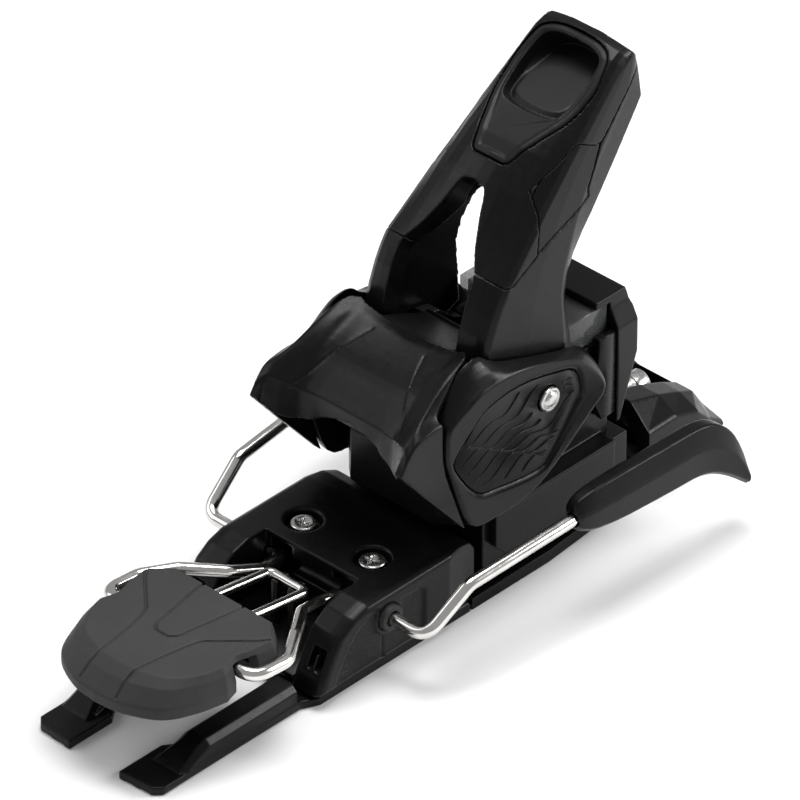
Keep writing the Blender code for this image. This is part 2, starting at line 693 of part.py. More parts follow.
def heel_housing():
    """Casing with the spring barrel, the ears of the main axle and skirts round the carriage."""
    slot = "black_plastic"
    deck_low = CARRIAGE_TOP + GAP
    body_line = [(HEEL_FRONT, deck_low), (HEEL_FRONT, 56.0), (HEEL_FRONT + 4.0, HEEL_DECK),
                 (HEEL_REAR - 28.0, HEEL_DECK), (HEEL_REAR - 26.0, 75.6), (HEEL_REAR, 75.6),
                 (HEEL_REAR, deck_low)]
    casing = slab("heel_housing", "housing", slot, body_line, -HEEL_HALF, HEEL_HALF)
    ear_in = HEEL_HALF - 6.3
    ear_line = [(54.0, HEEL_DECK - 3.0), (57.0, 72.0), (60.0, 82.0), (PIVOT_Y - 2.0, 86.0),
                (PIVOT_Y + 5.0, 84.5), (81.0, 77.0), (88.0, 74.0), (88.0, HEEL_DECK - 3.0)]
    skirt_low = 15.0
    skirt_half = CARRIAGE_HALF + 3.4
    deck_line = [(46.0, deck_low + 0.5), (46.0, deck_low + 2.0), (HEEL_REAR - 4.0, deck_low + 2.0),
                 (HEEL_REAR - 4.0, deck_low + 0.5)]
    add(casing, slab("deck", "housing", slot, deck_line, -skirt_half, skirt_half))
    for side, sign in SIDES:
        a, b = sorted((sign * ear_in, sign * (HEEL_HALF - 0.2)))
        add(casing, slab("ear_" + side, "housing", slot, ear_line, a, b))
        skirt_line = [(46.0, deck_low + 1.8), (HEEL_REAR - 4.0, deck_low + 1.8),
                      (HEEL_REAR - 4.0, skirt_low + 6.0), (HEEL_REAR - 10.0, skirt_low),
                      (52.0, skirt_low), (46.0, skirt_low + 6.0)]
        a, b = sorted((sign * (CARRIAGE_HALF + RUN), sign * (skirt_half - 0.1)))
        add(casing, slab("skirt_" + side, "housing", slot, skirt_line, a, b))
    add(casing, box("spring_lug", "housing", slot, (-6.0, 55.0, 21.0), (6.0, 60.2, deck_low + 2.0)))
    cut(casing, rod("barrel", "housing", slot, BARREL_RADIUS, (0, 0, BARREL_Z), "y", 46.0,
                    HEEL_REAR + 1.0, 24))
    cut(casing, box("cam_window", "housing", slot, (-6.0, 50.0, BARREL_Z), (6.0, 62.0, HEEL_DECK + 1.0)))
    cut(casing, box("indicator_slot", "housing", slot, (-2.4, 88.0, BARREL_Z),
                    (2.4, 108.0, 77.0)))
    cut(casing, rod("axle_hole", "housing", slot, PIN / 2 + GAP, (0, PIVOT_Y, PIVOT_Z), "x",
                    -HEEL_HALF - 1.0, HEEL_HALF + 1.0, 20))
    for side, sign in SIDES:
        corner = [(sign * 19.0, HEEL_FRONT - 1.0), (sign * (HEEL_HALF + 1.0), HEEL_FRONT - 1.0),
                  (sign * (HEEL_HALF + 1.0), HEEL_FRONT + 6.0)]
        cut(casing, plate("front_corner_" + side, "housing", slot, corner, deck_low - 1.0,
                          HEEL_DECK + 1.0))
    return casing


def rear_cover():
    slot = "black_plastic"
    front = HEEL_REAR + GAP
    line = [(front, 40.0), (front, COVER_TOP - 2.8), (105.0, COVER_TOP - 2.8), (105.0, COVER_TOP),
            (COVER_REAR - 2.5, COVER_TOP), (COVER_REAR, 84.0), (COVER_REAR, 66.0),
            (front + 1.5, 40.0)]
    cover = slab("rear_cover", "housing", slot, line, -COVER_HALF, COVER_HALF)
    for side, sign in SIDES:
        half = COVER_HALF + 1.0
        wedge = [(COVER_TOP_HALF - 1.0, COVER_TOP + 1.0), (COVER_TOP_HALF, COVER_TOP),
                 (COVER_TOP_HALF + 0.2, 87.0), (COVER_HALF, 79.5), (half, 79.5),
                 (half, COVER_TOP + 1.0)]
        rings = [[(sign * x, y, z) for x, z in wedge] for y in (100.0, COVER_REAR + 1.0)]
        cut(cover, loft("top_edge_" + side, "housing", slot, rings))
    cut(cover, rod("din_hole", "housing", slot, 5.4, (0, 0, BARREL_Z), "y", front - 1.0,
                   COVER_REAR + 1.0, 20))
    return cover


def housing_panel(side, sign):
    """Plain side panel in front of the rear cover."""
    line = [(101.5, 52.0), (103.5, 79.0), (HEEL_REAR, 79.0), (HEEL_REAR, 44.0), (105.0, 44.0)]
    a, b = sorted((sign * (HEEL_HALF + GAP), sign * (COVER_HALF - 0.6)))
    return slab("housing_panel_" + side, "housing", "dark_panel", line, a, b)


def din_window():
    low = 75.6 + GAP
    high = COVER_TOP - 2.8 - GAP
    half = HEEL_HALF - 0.7
    window = box("din_window", "housing", "clear_plastic", (-half, 89.0, low),
                 (half, HEEL_REAR - 0.2, high))
    cut(window, box("window_hollow", "housing", "clear_plastic", (-half + 2.0, 91.0, low - 1.0),
                    (half - 2.0, HEEL_REAR - 2.2, high - 2.0)))
    return window


def axle_pin():
    head = PIN / 2 + 0.8
    profile = [(PIN / 2 - 0.8, -PIN_HALF - 1.2), (head - 0.5, -PIN_HALF - 0.8),
               (head, -PIN_HALF), (head, -PIN_HALF + 0.4), (PIN / 2, -PIN_HALF + 0.4),
               (PIN / 2, PIN_HALF - 0.4), (head, PIN_HALF - 0.4), (head, PIN_HALF),
               (head - 0.5, PIN_HALF + 0.8), (PIN / 2 - 0.8, PIN_HALF + 1.2)]
    return lathe("axle_pin", "housing", "screw_steel", profile, (0, PIVOT_Y, PIVOT_Z), "x", ROUND)


def release_spring():
    return coil("release_spring", "housing", COIL_RADIUS, COIL_WIRE, COIL_TURNS,
                (0.0, BARREL_Z), COIL_FRONT, COIL_REAR)


def spring_piston():
    radius = BARREL_RADIUS - RUN
    profile = [(radius, 51.5), (radius, COIL_FRONT - GAP), (4.5, COIL_FRONT - GAP),
               (4.5, COIL_FRONT + 8.0)]
    return lathe("spring_piston", "piston", "dark_steel", profile, (0, 0, BARREL_Z), "y", ROUND)


def din_nut():
    """Nut that loads the release spring when the screw turns."""
    radius = BARREL_RADIUS - RUN
    start = COIL_REAR + GAP
    profile = [(2.9, start), (radius, start), (radius, start + 5.0), (2.9, start + 5.0)]
    return lathe("din_nut", "din_nut", "dark_steel", profile, (0, 0, BARREL_Z), "y", 24,
                 closed=True)


def din_indicator():
    """Pointer on the nut, seen through the window."""
    start = COIL_REAR + GAP + 1.0
    foot_low = BARREL_Z + BARREL_RADIUS - RUN + GAP
    stem = box("din_indicator", "din_nut", "soft_plastic", (-1.6, start, foot_low),
               (1.6, start + 2.6, 79.0))
    half = HEEL_HALF - 5.9
    add(stem, box("flag", "din_nut", "soft_plastic", (-half, start - 0.6, 78.0),
                  (half, start + 3.2, 80.4)))
    return stem


def din_screw():
    start = COIL_REAR - 12.0
    seat = HEEL_REAR + GAP + 3.0
    profile = [(2.4, start), (2.4, seat), (4.7, seat), (4.7, seat + 3.4), (4.2, seat + 4.0)]
    screw = lathe("din_screw", "din_screw", "screw_steel", profile, (0, 0, BARREL_Z), "y", 16)
    for k, (wide, deep) in enumerate(((3.0, 0.7), (0.7, 3.0))):
        cut(screw, box("din_cross_%d" % k, "din_screw", "screw_steel",
                       (-wide, seat + 2.4, BARREL_Z - deep), (wide, seat + 5.0, BARREL_Z + deep)))
    return screw


# ---------------------------------------------------------------- heel cup

def cup_stations():
    """Share of the half-width and (Y, Z) section of the visor, top line then inner line."""
    return [
        (0.0, [(6.3, 78.4), (5.8, 83.6), (17.3, 94.7), (31.6, 100.7), (38.0, 100.7)],
         [(38.0, 97.6), (31.8, 97.6), (19.2, 91.6), (9.2, 82.6), (9.2, 78.4)]),
        (0.325, [(5.8, 75.4), (5.8, 83.6), (17.3, 94.8), (31.6, 101.0), (38.2, 102.0)],
         [(38.2, 98.8), (31.8, 97.8), (19.2, 91.7), (9.2, 82.6), (8.8, 75.4)]),
        (0.596, [(3.3, 71.8), (4.6, 83.4), (17.0, 95.3), (31.0, 102.0), (38.2, 103.8)],
         [(38.2, 100.4), (31.2, 98.8), (19.0, 92.2), (8.2, 83.0), (6.6, 71.8)]),
        (0.759, [(-0.5, 71.8), (1.5, 85.8), (11.5, 93.6), (18.0, 97.2), (20.7, 98.6)],
         [(20.7, 95.2), (18.4, 93.8), (13.2, 90.4), (5.6, 84.0), (3.4, 72.2)]),
        (0.9, [(-4.6, 76.4), (-1.2, 87.6), (5.0, 92.2), (12.0, 93.8), (15.6, 94.4)],
         [(15.6, 90.4), (12.4, 89.8), (6.2, 88.0), (3.2, 84.4), (-0.6, 77.4)]),
        (1.0, [(-6.7, 79.5), (-4.0, 83.8), (0.6, 88.8), (8.0, 90.6), (15.2, 90.8)],
         [(15.2, 86.4), (9.0, 86.2), (3.4, 84.8), (0.4, 82.0), (-3.4, 79.2)]),
    ]


def heel_cup_shell():
    slot = "black_plastic"
    rings = []
    stations = cup_stations()
    for share, top, inner in [(-h, t, i) for h, t, i in reversed(stations[1:])] + stations:
        rings.append([(share * CUP_HALF, y, z) for y, z in top + inner])
    shell = loft("heel_cup_shell", "heel_cup", slot, rings)
    tongue = [(34.0, 98.0), (36.0, 101.0), (42.0, 99.8), (53.0, 95.2), (64.0, 90.0),
              (64.0, 86.8), (53.0, 91.8), (42.0, 96.2)]
    add(shell, slab("tongue", "heel_cup", slot, tongue, 1.4 - LEVER_FLANGE,
                    LEVER_FLANGE - 1.4))
    wall = [(-6.5, 79.3), (-3.6, 83.6), (0.9, 88.4), (8.0, 90.2), (15.0, 90.4), (15.4, 76.0),
            (16.6, 69.0), (26.0, 41.4)]
    for side, sign in SIDES:
        a, b = sorted((sign * (CUP_HALF - CUP_WALL), sign * (CUP_HALF - 0.15)))
        add(shell, slab("wall_" + side, "heel_cup", slot, wall, a, b))
    return shell


def cup_liner():
    """Hard insert under the visor that bears on the boot's heel ledge."""
    line = [(10.0, 76.0), (10.0, 81.8), (19.8, 90.6), (31.0, 96.4), (37.0, 96.4), (37.0, 93.2),
            (31.6, 93.2), (21.6, 88.0), (14.0, 80.6), (13.0, 72.6), (10.6, 72.6)]
    return slab("cup_liner", "heel_cup", "soft_plastic", line, -16.0, 16.0)


def treadle():
    """Tongue under the boot heel that turns the cup down when the skier steps in."""
    line = [(24.0, 62.6), (24.0, 66.0), (46.0, 70.4), (60.0, 84.6), (66.0, 86.6), (74.0, 83.4),
            (76.0, 74.0), (70.0, 66.0), (60.0, 61.4), (57.5, 59.0), (54.5, 59.0), (52.0, 61.4)]
    piece = slab("treadle", "heel_cup", "black_plastic", line, -5.4, 5.4)
    wide = [(24.5, 63.0), (24.5, 65.6), (46.2, 69.8), (52.0, 69.8), (52.0, 63.0)]
    add(piece, slab("tread", "heel_cup", "black_plastic", wide, -17.0, 17.0))
    cut(piece, rod("treadle_hole", "heel_cup", "black_plastic", PIN / 2 + GAP,
                   (0, PIVOT_Y, PIVOT_Z), "x", -7.0, 7.0, 20))
    return piece


CHEEK_INNER = [(15.8, 76.0), (16.0, 87.5), (19.4, 93.0), (24.9, 100.0), (31.0, 105.0), (38.5, 105.6),
               (44.0, 101.4), (50.0, 98.0), (60.0, 94.2), (70.0, 90.6), (80.0, 87.4), (91.0, 84.0),
               (98.8, 73.0), (99.8, 63.8), (91.0, 57.5), (74.3, 45.5), (60.6, 38.8), (42.7, 37.2),
               (27.0, 41.4), (17.0, 69.0)]
CHEEK_OUTER = [(16.0, 76.0), (16.6, 86.0), (19.4, 89.6), (26.0, 92.8), (32.5, 95.6), (38.0, 96.4),
               (43.5, 96.8), (50.0, 96.2), (58.0, 94.8), (66.0, 92.2), (75.0, 88.8), (86.0, 83.4),
               (96.0, 72.0), (97.6, 64.6), (89.8, 58.6), (73.7, 46.7), (60.2, 40.0), (42.9, 38.4),
               (28.2, 42.2), (17.8, 69.2)]
ART_PANEL = [(22.3, 75.3), (20.8, 69.6), (31.5, 54.3), (42.7, 50.8), (63.0, 48.0), (70.8, 52.7),
             (82.5, 66.2), (85.0, 70.0), (82.0, 80.6), (70.8, 85.0), (53.0, 88.5), (37.6, 87.0),
             (30.0, 82.0)]


def cheek(side, sign):
    middle = [((a[0] * 0.6 + b[0] * 0.4), (a[1] * 0.6 + b[1] * 0.4))
              for a, b in zip(CHEEK_INNER, CHEEK_OUTER)]
    rings = [[(sign * x, y, z) for y, z in line]
             for x, line in ((CHEEK_IN, CHEEK_INNER), (35.6, middle), (CHEEK_OUT, CHEEK_OUTER))]
    piece = loft("cheek_" + side, "heel_cup", "black_plastic", rings)
    depth = CHEEK_OUT - PANEL_THICK - 2 * GAP
    a, b = sorted((sign * depth, sign * (CHEEK_OUT + 3.0)))
    cut(piece, slab("art_recess_" + side, "heel_cup", "black_plastic", offset(ART_PANEL, GAP), a, b))
    middle_x = sign * (CHEEK_IN + CHEEK_OUT) / 2
    cut(piece, rod("cheek_hole_" + side, "heel_cup", "black_plastic", PIN / 2 + GAP,
                   (middle_x, PIVOT_Y, PIVOT_Z), "x", -6.0, 6.0, 20))
    return piece


def side_panel(side, sign):
    """Thin decorated panel in the cheek's recess."""
    depth = CHEEK_OUT - PANEL_THICK - GAP
    a, b = sorted((sign * depth, sign * (depth + PANEL_THICK)))
    panel = slab("side_panel_" + side, "heel_cup", "dark_panel", ART_PANEL, a, b)
    cut(panel, rod("panel_hole_" + side, "heel_cup", "dark_panel", PIN / 2 + 0.8 + GAP,
                   (sign * CHEEK_OUT, PIVOT_Y, PIVOT_Z), "x", -4.0, 4.0, 20))
    return panel


# ---------------------------------------------------------------- lever

def lever_point(p, q):
    """Point at p along the lever and q in front of its axle line, as (Y, Z)."""
    return (PIVOT_Y + p * math.cos(LEVER_LEAN) - q * math.sin(LEVER_LEAN),
            PIVOT_Z + p * math.sin(LEVER_LEAN) + q * math.cos(LEVER_LEAN))


def lever_half(y, z):
    """Half width of the lever at a point, narrower towards the tip."""
    p = (y - PIVOT_Y) * math.cos(LEVER_LEAN) + (z - PIVOT_Z) * math.sin(LEVER_LEAN)
    return LEVER_HALF - LEVER_TAPER * max(p - LEVER_TAPER_FROM, 0.0)


# Half width of the gap between the legs, as (p, half width): a wishbone
LEG_GAP = ((27.0, LEVER_FLANGE), (39.5, 0.6 * LEVER_FLANGE), (54.6, 0.35 * LEVER_FLANGE))


def gap_half(y, z):
    """Half width of the gap between the lever's legs at a point."""
    p = (y - PIVOT_Y) * math.cos(LEVER_LEAN) + (z - PIVOT_Z) * math.sin(LEVER_LEAN)
    for (p0, half0), (p1, half1) in zip(LEG_GAP, LEG_GAP[1:]):
        if p <= p1:
            return half0 + (half1 - half0) * max(p - p0, 0.0) / (p1 - p0)
    return LEG_GAP[-1][1]


# Side of the lever as (p, q): below the start of the taper, and above it
LEVER_FOOT = [(0.4, 35.6), (14.0, 41.4), (LEVER_TAPER_FROM + 0.4, 44.3),
              (LEVER_TAPER_FROM + 0.4, -6.4), (LEVER_TAPER_FROM, -7.0), (15.5, -17.0),
              (8.0, -13.0), (0.0, -9.4), (-8.0, -5.0), (-9.6, 2.0), (-6.0, 14.0)]
LEVER_ARM = [(LEVER_TAPER_FROM, 44.2), (26.8, 44.7), (38.6, 43.4), (63.0, 40.8), (80.0, 38.4),
             (97.0, 35.6), (116.0, 33.4), (121.8, 31.0), (124.4, 25.0), (109.5, 9.6),
             (71.5, 9.6), (56.0, 9.4), (48.6, 10.4), (34.5, 3.4), (LEVER_TAPER_FROM, -7.0)]


def band(outline, sign, inner_gap, outer_gap, name, body, slot):
    """Slab that follows the lever's tapered side, between two distances from its outside."""
    return slab(name, body, slot, [lever_point(p, q) for p, q in outline],
                lambda y, z: sign * (lever_half(y, z) - inner_gap),
                lambda y, z: sign * (lever_half(y, z) - outer_gap))


INLAY = [(112.0, 12.6), (117.5, 22.0), (95.5, 25.0), (88.0, 30.0), (64.0, 33.0), (40.0, 32.0),
         (36.0, 24.0), (52.0, 15.5), (64.0, 14.0)]


def lever_frame():
    slot = "black_plastic"
    frame = band(LEVER_ARM, 1.0, LEVER_WALL, 0.0, "lever_frame", "lever", slot)
    flanges = ([(0.6, 35.2), (14.0, 41.0), (27.0, 44.2), (27.0, 36.0), (14.0, 33.0), (4.0, 28.4)],
               [(26.5, 44.2), (39.5, 43.0), (39.5, 35.2), (26.5, 36.0)],
               [(39.0, 43.0), (54.6, 41.4), (54.6, 34.2), (39.0, 35.2)])
    rows = []
    for p, q_low, q_high in ((70.0, 9.8, 13.0), (LEVER_TAPER_FROM + 60.0, 9.8, 13.0),
                             (109.0, 9.8, 13.0)):
        y0, z0 = lever_point(p, q_low)
        y1, z1 = lever_point(p, q_high)
        half = lever_half(y0, z0) - 1.0
        rows.append([(-half, y0, z0), (half, y0, z0), (half, y1, z1), (-half, y1, z1)])
    add(frame, loft("back", "lever", slot, rows))
    add(frame, band(LEVER_ARM, -1.0, LEVER_WALL, 0.0, "left_arm", "lever", slot))
    for side, sign in SIDES:
        add(frame, band(LEVER_FOOT, sign, LEVER_WALL, 0.0, "foot_" + side, "lever", slot))
        for number, outline in enumerate(flanges):
            points = [lever_point(p, q) for p, q in outline]
            add(frame, slab("flange_%s_%d" % (side, number), "lever", slot, points,
                            lambda y, z, s=sign: s * gap_half(y, z),
                            lambda y, z, s=sign: s * (lever_half(y, z) - 1.6)))
        cut(frame, band(offset(INLAY, GAP), sign, 1.5 + GAP, -2.0, "inlay_pocket_" + side,
                        "lever", slot))
    cut(frame, rod("lever_hole", "lever", slot, PIN / 2 + GAP, (0, PIVOT_Y, PIVOT_Z), "x",
                   -LEVER_HALF - 1.0, LEVER_HALF + 1.0, 20))
    return frame


def lever_inlay(side, sign):
    return band(INLAY, sign, 1.5, 0.1, "lever_inlay_" + side, "lever", "dark_panel")


def crown_ring(p, half, q_low, q_edge, q_top):
    """Section of the lever cover: flat back, crowned front."""
    ring = [(-half, q_low), (half, q_low), (half, q_edge), (half * 0.62, q_top - 1.0),
            (0.0, q_top), (-half * 0.62, q_top - 1.0), (-half, q_edge)]
    points = []
    for x, q in ring:
        y, z = lever_point(p, q)
        points.append((x, y, z))
    return points


CROWN = ((62.0, 41.0, 48.6), (74.0, 39.3, 47.2), (85.0, 37.7, 43.4), (96.0, 35.8, 39.2),
         (107.0, 33.8, 35.4), (116.0, 32.2, 33.8), (122.0, 29.0, 31.0))

# Scoop panel: p, and its half width as a share of the lever's width inside its walls
SCOOP_HALF = ((66.6, 0.355), (72.5, 0.46), (84.0, 0.713), (93.0, 0.857), (105.0, 0.904),
              (112.0, 0.856), (117.0, 0.694))
BOWL_HALF = ((114.6, 0.501), (109.0, 0.745), (97.0, 0.76), (89.0, 0.657), (85.0, 0.358))


def inside_half(p, share):
    """A share of the lever's half width inside its walls."""
    taper = LEVER_TAPER * max(p - LEVER_TAPER_FROM, 0.0)
    return share * (LEVER_HALF - taper - LEVER_WALL)


def scoop_outline(grow):
    """Outline of the scoop panel as (X, p), grown by a distance."""
    right = [(inside_half(p, share), p) for p, share in SCOOP_HALF]
    return offset([(-x, p) for x, p in reversed(right)] + right, grow)


def across_lever(name, body, slot, outline, q_low, q_high):
    """Solid with an (X, p) outline between two distances in front of the axle line."""
    rings = []
    for q in (q_low, q_high):
        ring = []
        for x, p in outline:
            at = lever_point(p, q(p) if callable(q) else q)
            ring.append((x, at[0], at[1]))
        rings.append(ring)
    return loft(name, body, slot, rings)


def crown_at(p):
    for (p0, _, q0), (p1, _, q1) in zip(CROWN, CROWN[1:]):
        if p <= p1:
            return q0 + (q1 - q0) * (p - p0) / (p1 - p0)
    return CROWN[-1][2]


def lever_cover():
    slot = "black_plastic"
    rings = []
    for p, q_edge, q_top in CROWN:
        at = lever_point(p, 20.0)
        half = lever_half(*at) - LEVER_WALL - GAP
        rings.append(crown_ring(p, half, 13.0 + GAP, q_edge, q_top))
    cover = loft("lever_cover", "lever", slot, rings)
    web = [(55.0, 44.0), (55.0, 47.4), (64.0, 47.8), (64.0, 36.0), (60.0, 38.0)]
    add(cover, slab("web", "lever", slot, [lever_point(p, q) for p, q in web],
                    -LEVER_FLANGE + GAP, LEVER_FLANGE - GAP))
    cut(cover, across_lever("scoop_pocket", "lever", slot, scoop_outline(GAP), 17.6, 60.0))
    return cover


def lever_cup_insert():
    """Dish for the tip of a ski pole, let into the cover."""
    slot = "soft_plastic"
    insert = across_lever("lever_cup_insert", "lever", slot, scoop_outline(0.0), 18.0, crown_at)
    bowl = mirrored([(inside_half(p, share), p) for p, share in BOWL_HALF])
    cut(insert, across_lever("bowl", "lever", slot, bowl, lambda p: 36.5 - 0.5 * (p - 85.0),
                             60.0))
    return insert


# ---------------------------------------------------------------- assembly

def build():
    clear_scene()
    make_bodies()
    base_fork()
    brake_base()
    brake_housing()
    track_rail()
    rail_end_block()
    for side, sign in SIDES:
        mounting_screw("front_screw_" + side, sign * SCREW_X, 0.0, HOUSE_TOP - 1.0, 0.6)
        mounting_screw("rear_screw_" + side, sign * SCREW_X, REAR_SCREW_Y, RAIL_THICK, 0.6)
        axle_bush(side, sign)
        brake_wire(side, sign)
        brake_foot(side, sign)
        housing_panel(side, sign)
        cheek(side, sign)
        side_panel(side, sign)
        lever_inlay(side, sign)
    brake_spring_wire()
    pedal_cover()
    pedal_base()
    carriage()
    worm_screw()
    pressure_spring()
    heel_housing()
    rear_cover()
    din_window()
    din_nut()
    din_indicator()
    din_screw()
    release_spring()
    spring_piston()
    axle_pin()
    heel_cup_shell()
    cup_liner()
    treadle()
    lever_frame()
    lever_cover()
    lever_cup_insert()


build()
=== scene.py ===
"""Looks of the ski-binding heel piece: moulded shapes, surface detail, materials, light and camera.

Lengths below are millimetres in the frame of the CAD model: +X to the right seen from the toe side,
+Y towards the tail of the ski, +Z up.  piece() turns them into metres.
"""

import json
import math

import bmesh
import bpy
from mathutils import Matrix, Vector
from mathutils.bvhtree import BVHTree


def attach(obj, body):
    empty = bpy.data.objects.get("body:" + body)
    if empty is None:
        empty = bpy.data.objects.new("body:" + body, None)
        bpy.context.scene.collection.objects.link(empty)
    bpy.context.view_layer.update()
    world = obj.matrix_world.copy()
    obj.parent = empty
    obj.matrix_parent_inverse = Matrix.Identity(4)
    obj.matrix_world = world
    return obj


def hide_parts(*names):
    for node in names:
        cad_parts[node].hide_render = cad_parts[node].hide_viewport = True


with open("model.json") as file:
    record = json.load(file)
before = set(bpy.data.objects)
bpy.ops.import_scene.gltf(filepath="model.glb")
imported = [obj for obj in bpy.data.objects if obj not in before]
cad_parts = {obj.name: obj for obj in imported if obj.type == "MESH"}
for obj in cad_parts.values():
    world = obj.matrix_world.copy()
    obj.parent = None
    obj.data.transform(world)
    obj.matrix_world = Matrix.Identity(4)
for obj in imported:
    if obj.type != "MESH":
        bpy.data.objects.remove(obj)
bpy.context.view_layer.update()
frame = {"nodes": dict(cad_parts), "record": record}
MM = 0.001
BODY_OF = {node: body for body, nodes in frame["record"]["behaviour"]["bodies"].items()
           for node in nodes}
SLOT_OF = {entry["node"]: entry["material_slot"] for entry in frame["record"]["subparts"]}
SIDES = (("left", -1.0), ("right", 1.0))
COARSE = 1.0

# Driving dimensions, as in the CAD model
SCREW_X = 16.7
REAR_SCREW_Y, REAR_SCREW_TOP = 150.0, 5.0
HOUSE_HALF = 36.0
HOUSE_TOP = 32.6
AXLE_Y, AXLE_Z = -11.4, 22.6
WIRE = 5.0
PIVOT_Y, PIVOT_Z = 68.0, 76.0
PEDAL_TOP = 38.4
PEDAL_RIM = 26.0
LEVER_LEAN = math.radians(48.3)
LEVER_HALF = 29.8
LEVER_TAPER = 0.1
LEVER_TAPER_FROM = 25.0
LEVER_GAP = 17.6
LEVER_WALL = 3.2
LEVER_BORE = 4.4
CUP_HALF = 36.9


# ---------------------------------------------------------------- materials

def nodes_of(name):
    material = bpy.data.materials.new(name)
    material.use_nodes = True
    tree = material.node_tree
    return material, tree, tree.nodes["Principled BSDF"]


def link(tree, source, target):
    tree.links.new(source, target)


def add_node(tree, kind, **values):
    node = tree.nodes.new(kind)
    for key, value in values.items():
        if hasattr(node, key):
            setattr(node, key, value)
        else:
            node.inputs[key.replace("_", " ")].default_value = value
    return node


def ramp(tree, source, low, high, start, stop):
    """Maps a value from start..stop to low..high."""
    node = tree.nodes.new("ShaderNodeMapRange")
    for key, value in (("From Min", start), ("From Max", stop), ("To Min", low), ("To Max", high)):
        node.inputs[key].default_value = value
    link(tree, source, node.inputs["Value"])
    return node.outputs["Result"]


def moulded_plastic(name, dark, light, rough, grain=0.00004, grain_size=2600.0, edge_highlight_level=0.35):
    """Injection-moulded plastic: fine grain, slow changes of gloss, glossier edges with a painted
    highlight along them.
    """
    material, tree, shader = nodes_of(name)
    at = add_node(tree, "ShaderNodeTexCoord").outputs["Object"]
    slow = add_node(tree, "ShaderNodeTexNoise", Scale=38.0, Detail=4.0)
    fine = add_node(tree, "ShaderNodeTexNoise", Scale=grain_size, Detail=2.0)
    speck = add_node(tree, "ShaderNodeTexNoise", Scale=420.0, Detail=5.0, Roughness=0.7)
    for noise in (slow, fine, speck):
        link(tree, at, noise.inputs["Vector"])
    edge = add_node(tree, "ShaderNodeNewGeometry").outputs["Pointiness"]
    # Painted highlight: convex edges (high pointiness) are lightened towards the light tone to stand in
    # for edge highlights.
    edge_highlight_paint = ramp(tree, edge, 0.0, edge_highlight_level, 0.53, 0.60)
    colour = add_node(tree, "ShaderNodeMix", data_type="RGBA")
    colour.inputs["A"].default_value = (*dark, 1.0)
    colour.inputs["B"].default_value = (*light, 1.0)
    mixed = add_node(tree, "ShaderNodeMath", operation="ADD", use_clamp=True)
    link(tree, ramp(tree, slow.outputs["Fac"], 0.0, 0.55, 0.35, 0.70), mixed.inputs[0])
    link(tree, edge_highlight_paint, mixed.inputs[1])
    link(tree, mixed.outputs[0], colour.inputs["Factor"])
    link(tree, colour.outputs["Result"], shader.inputs["Base Color"])
    gloss = add_node(tree, "ShaderNodeMath", operation="ADD")
    link(tree, ramp(tree, speck.outputs["Fac"], rough - 0.05, rough + 0.07, 0.3, 0.7),
         gloss.inputs[0])
    link(tree, ramp(tree, edge, 0.0, -0.10, 0.53, 0.60), gloss.inputs[1])
    link(tree, gloss.outputs[0], shader.inputs["Roughness"])
    bump = add_node(tree, "ShaderNodeBump", Strength=0.55, Distance=grain)
    link(tree, fine.outputs["Fac"], bump.inputs["Height"])
    link(tree, bump.outputs["Normal"], shader.inputs["Normal"])
    shader.inputs["Specular IOR Level"].default_value = 0.18
    return material


def bare_metal(name, colour, rough, scale=900.0, stretch=(1.0, 0.06, 1.0), depth=0.000012):
    """Polished or brushed metal with fine drawn lines and small changes of gloss."""
    material, tree, shader = nodes_of(name)
    at = add_node(tree, "ShaderNodeTexCoord").outputs["Object"]
    along = add_node(tree, "ShaderNodeMapping")
    along.inputs["Scale"].default_value = stretch
    link(tree, at, along.inputs["Vector"])
    lines = add_node(tree, "ShaderNodeTexNoise", Scale=scale, Detail=3.0)
    link(tree, along.outputs["Vector"], lines.inputs["Vector"])
    cloud = add_node(tree, "ShaderNodeTexNoise", Scale=120.0, Detail=4.0)
    link(tree, at, cloud.inputs["Vector"])
    tint = add_node(tree, "ShaderNodeMix", data_type="RGBA")
    tint.inputs["A"].default_value = (*[c * 0.82 for c in colour], 1.0)
    tint.inputs["B"].default_value = (*colour, 1.0)
    link(tree, ramp(tree, cloud.outputs["Fac"], 0.0, 1.0, 0.3, 0.7), tint.inputs["Factor"])
    link(tree, tint.outputs["Result"], shader.inputs["Base Color"])
    link(tree, ramp(tree, lines.outputs["Fac"], rough * 0.7, rough * 1.35, 0.3, 0.7),
         shader.inputs["Roughness"])
    bump = add_node(tree, "ShaderNodeBump", Strength=0.35, Distance=depth)
    link(tree, lines.outputs["Fac"], bump.inputs["Height"])
    link(tree, bump.outputs["Normal"], shader.inputs["Normal"])
    shader.inputs["Metallic"].default_value = 1.0
    return material


def smoked_clear(name):
    material, tree, shader = nodes_of(name)
    at = add_node(tree, "ShaderNodeTexCoord").outputs["Object"]
    haze = add_node(tree, "ShaderNodeTexNoise", Scale=300.0, Detail=4.0)
    link(tree, at, haze.inputs["Vector"])
    link(tree, ramp(tree, haze.outputs["Fac"], 0.10, 0.22, 0.3, 0.7), shader.inputs["Roughness"])
    tint = add_node(tree, "ShaderNodeMix", data_type="RGBA")
    tint.inputs["A"].default_value = (0.06, 0.062, 0.064, 1.0)
    tint.inputs["B"].default_value = (0.12, 0.122, 0.125, 1.0)
    link(tree, haze.outputs["Fac"], tint.inputs["Factor"])
    link(tree, tint.outputs["Result"], shader.inputs["Base Color"])
    shader.inputs["Alpha"].default_value = 0.62
    shader.inputs["IOR"].default_value = 1.45
    return material


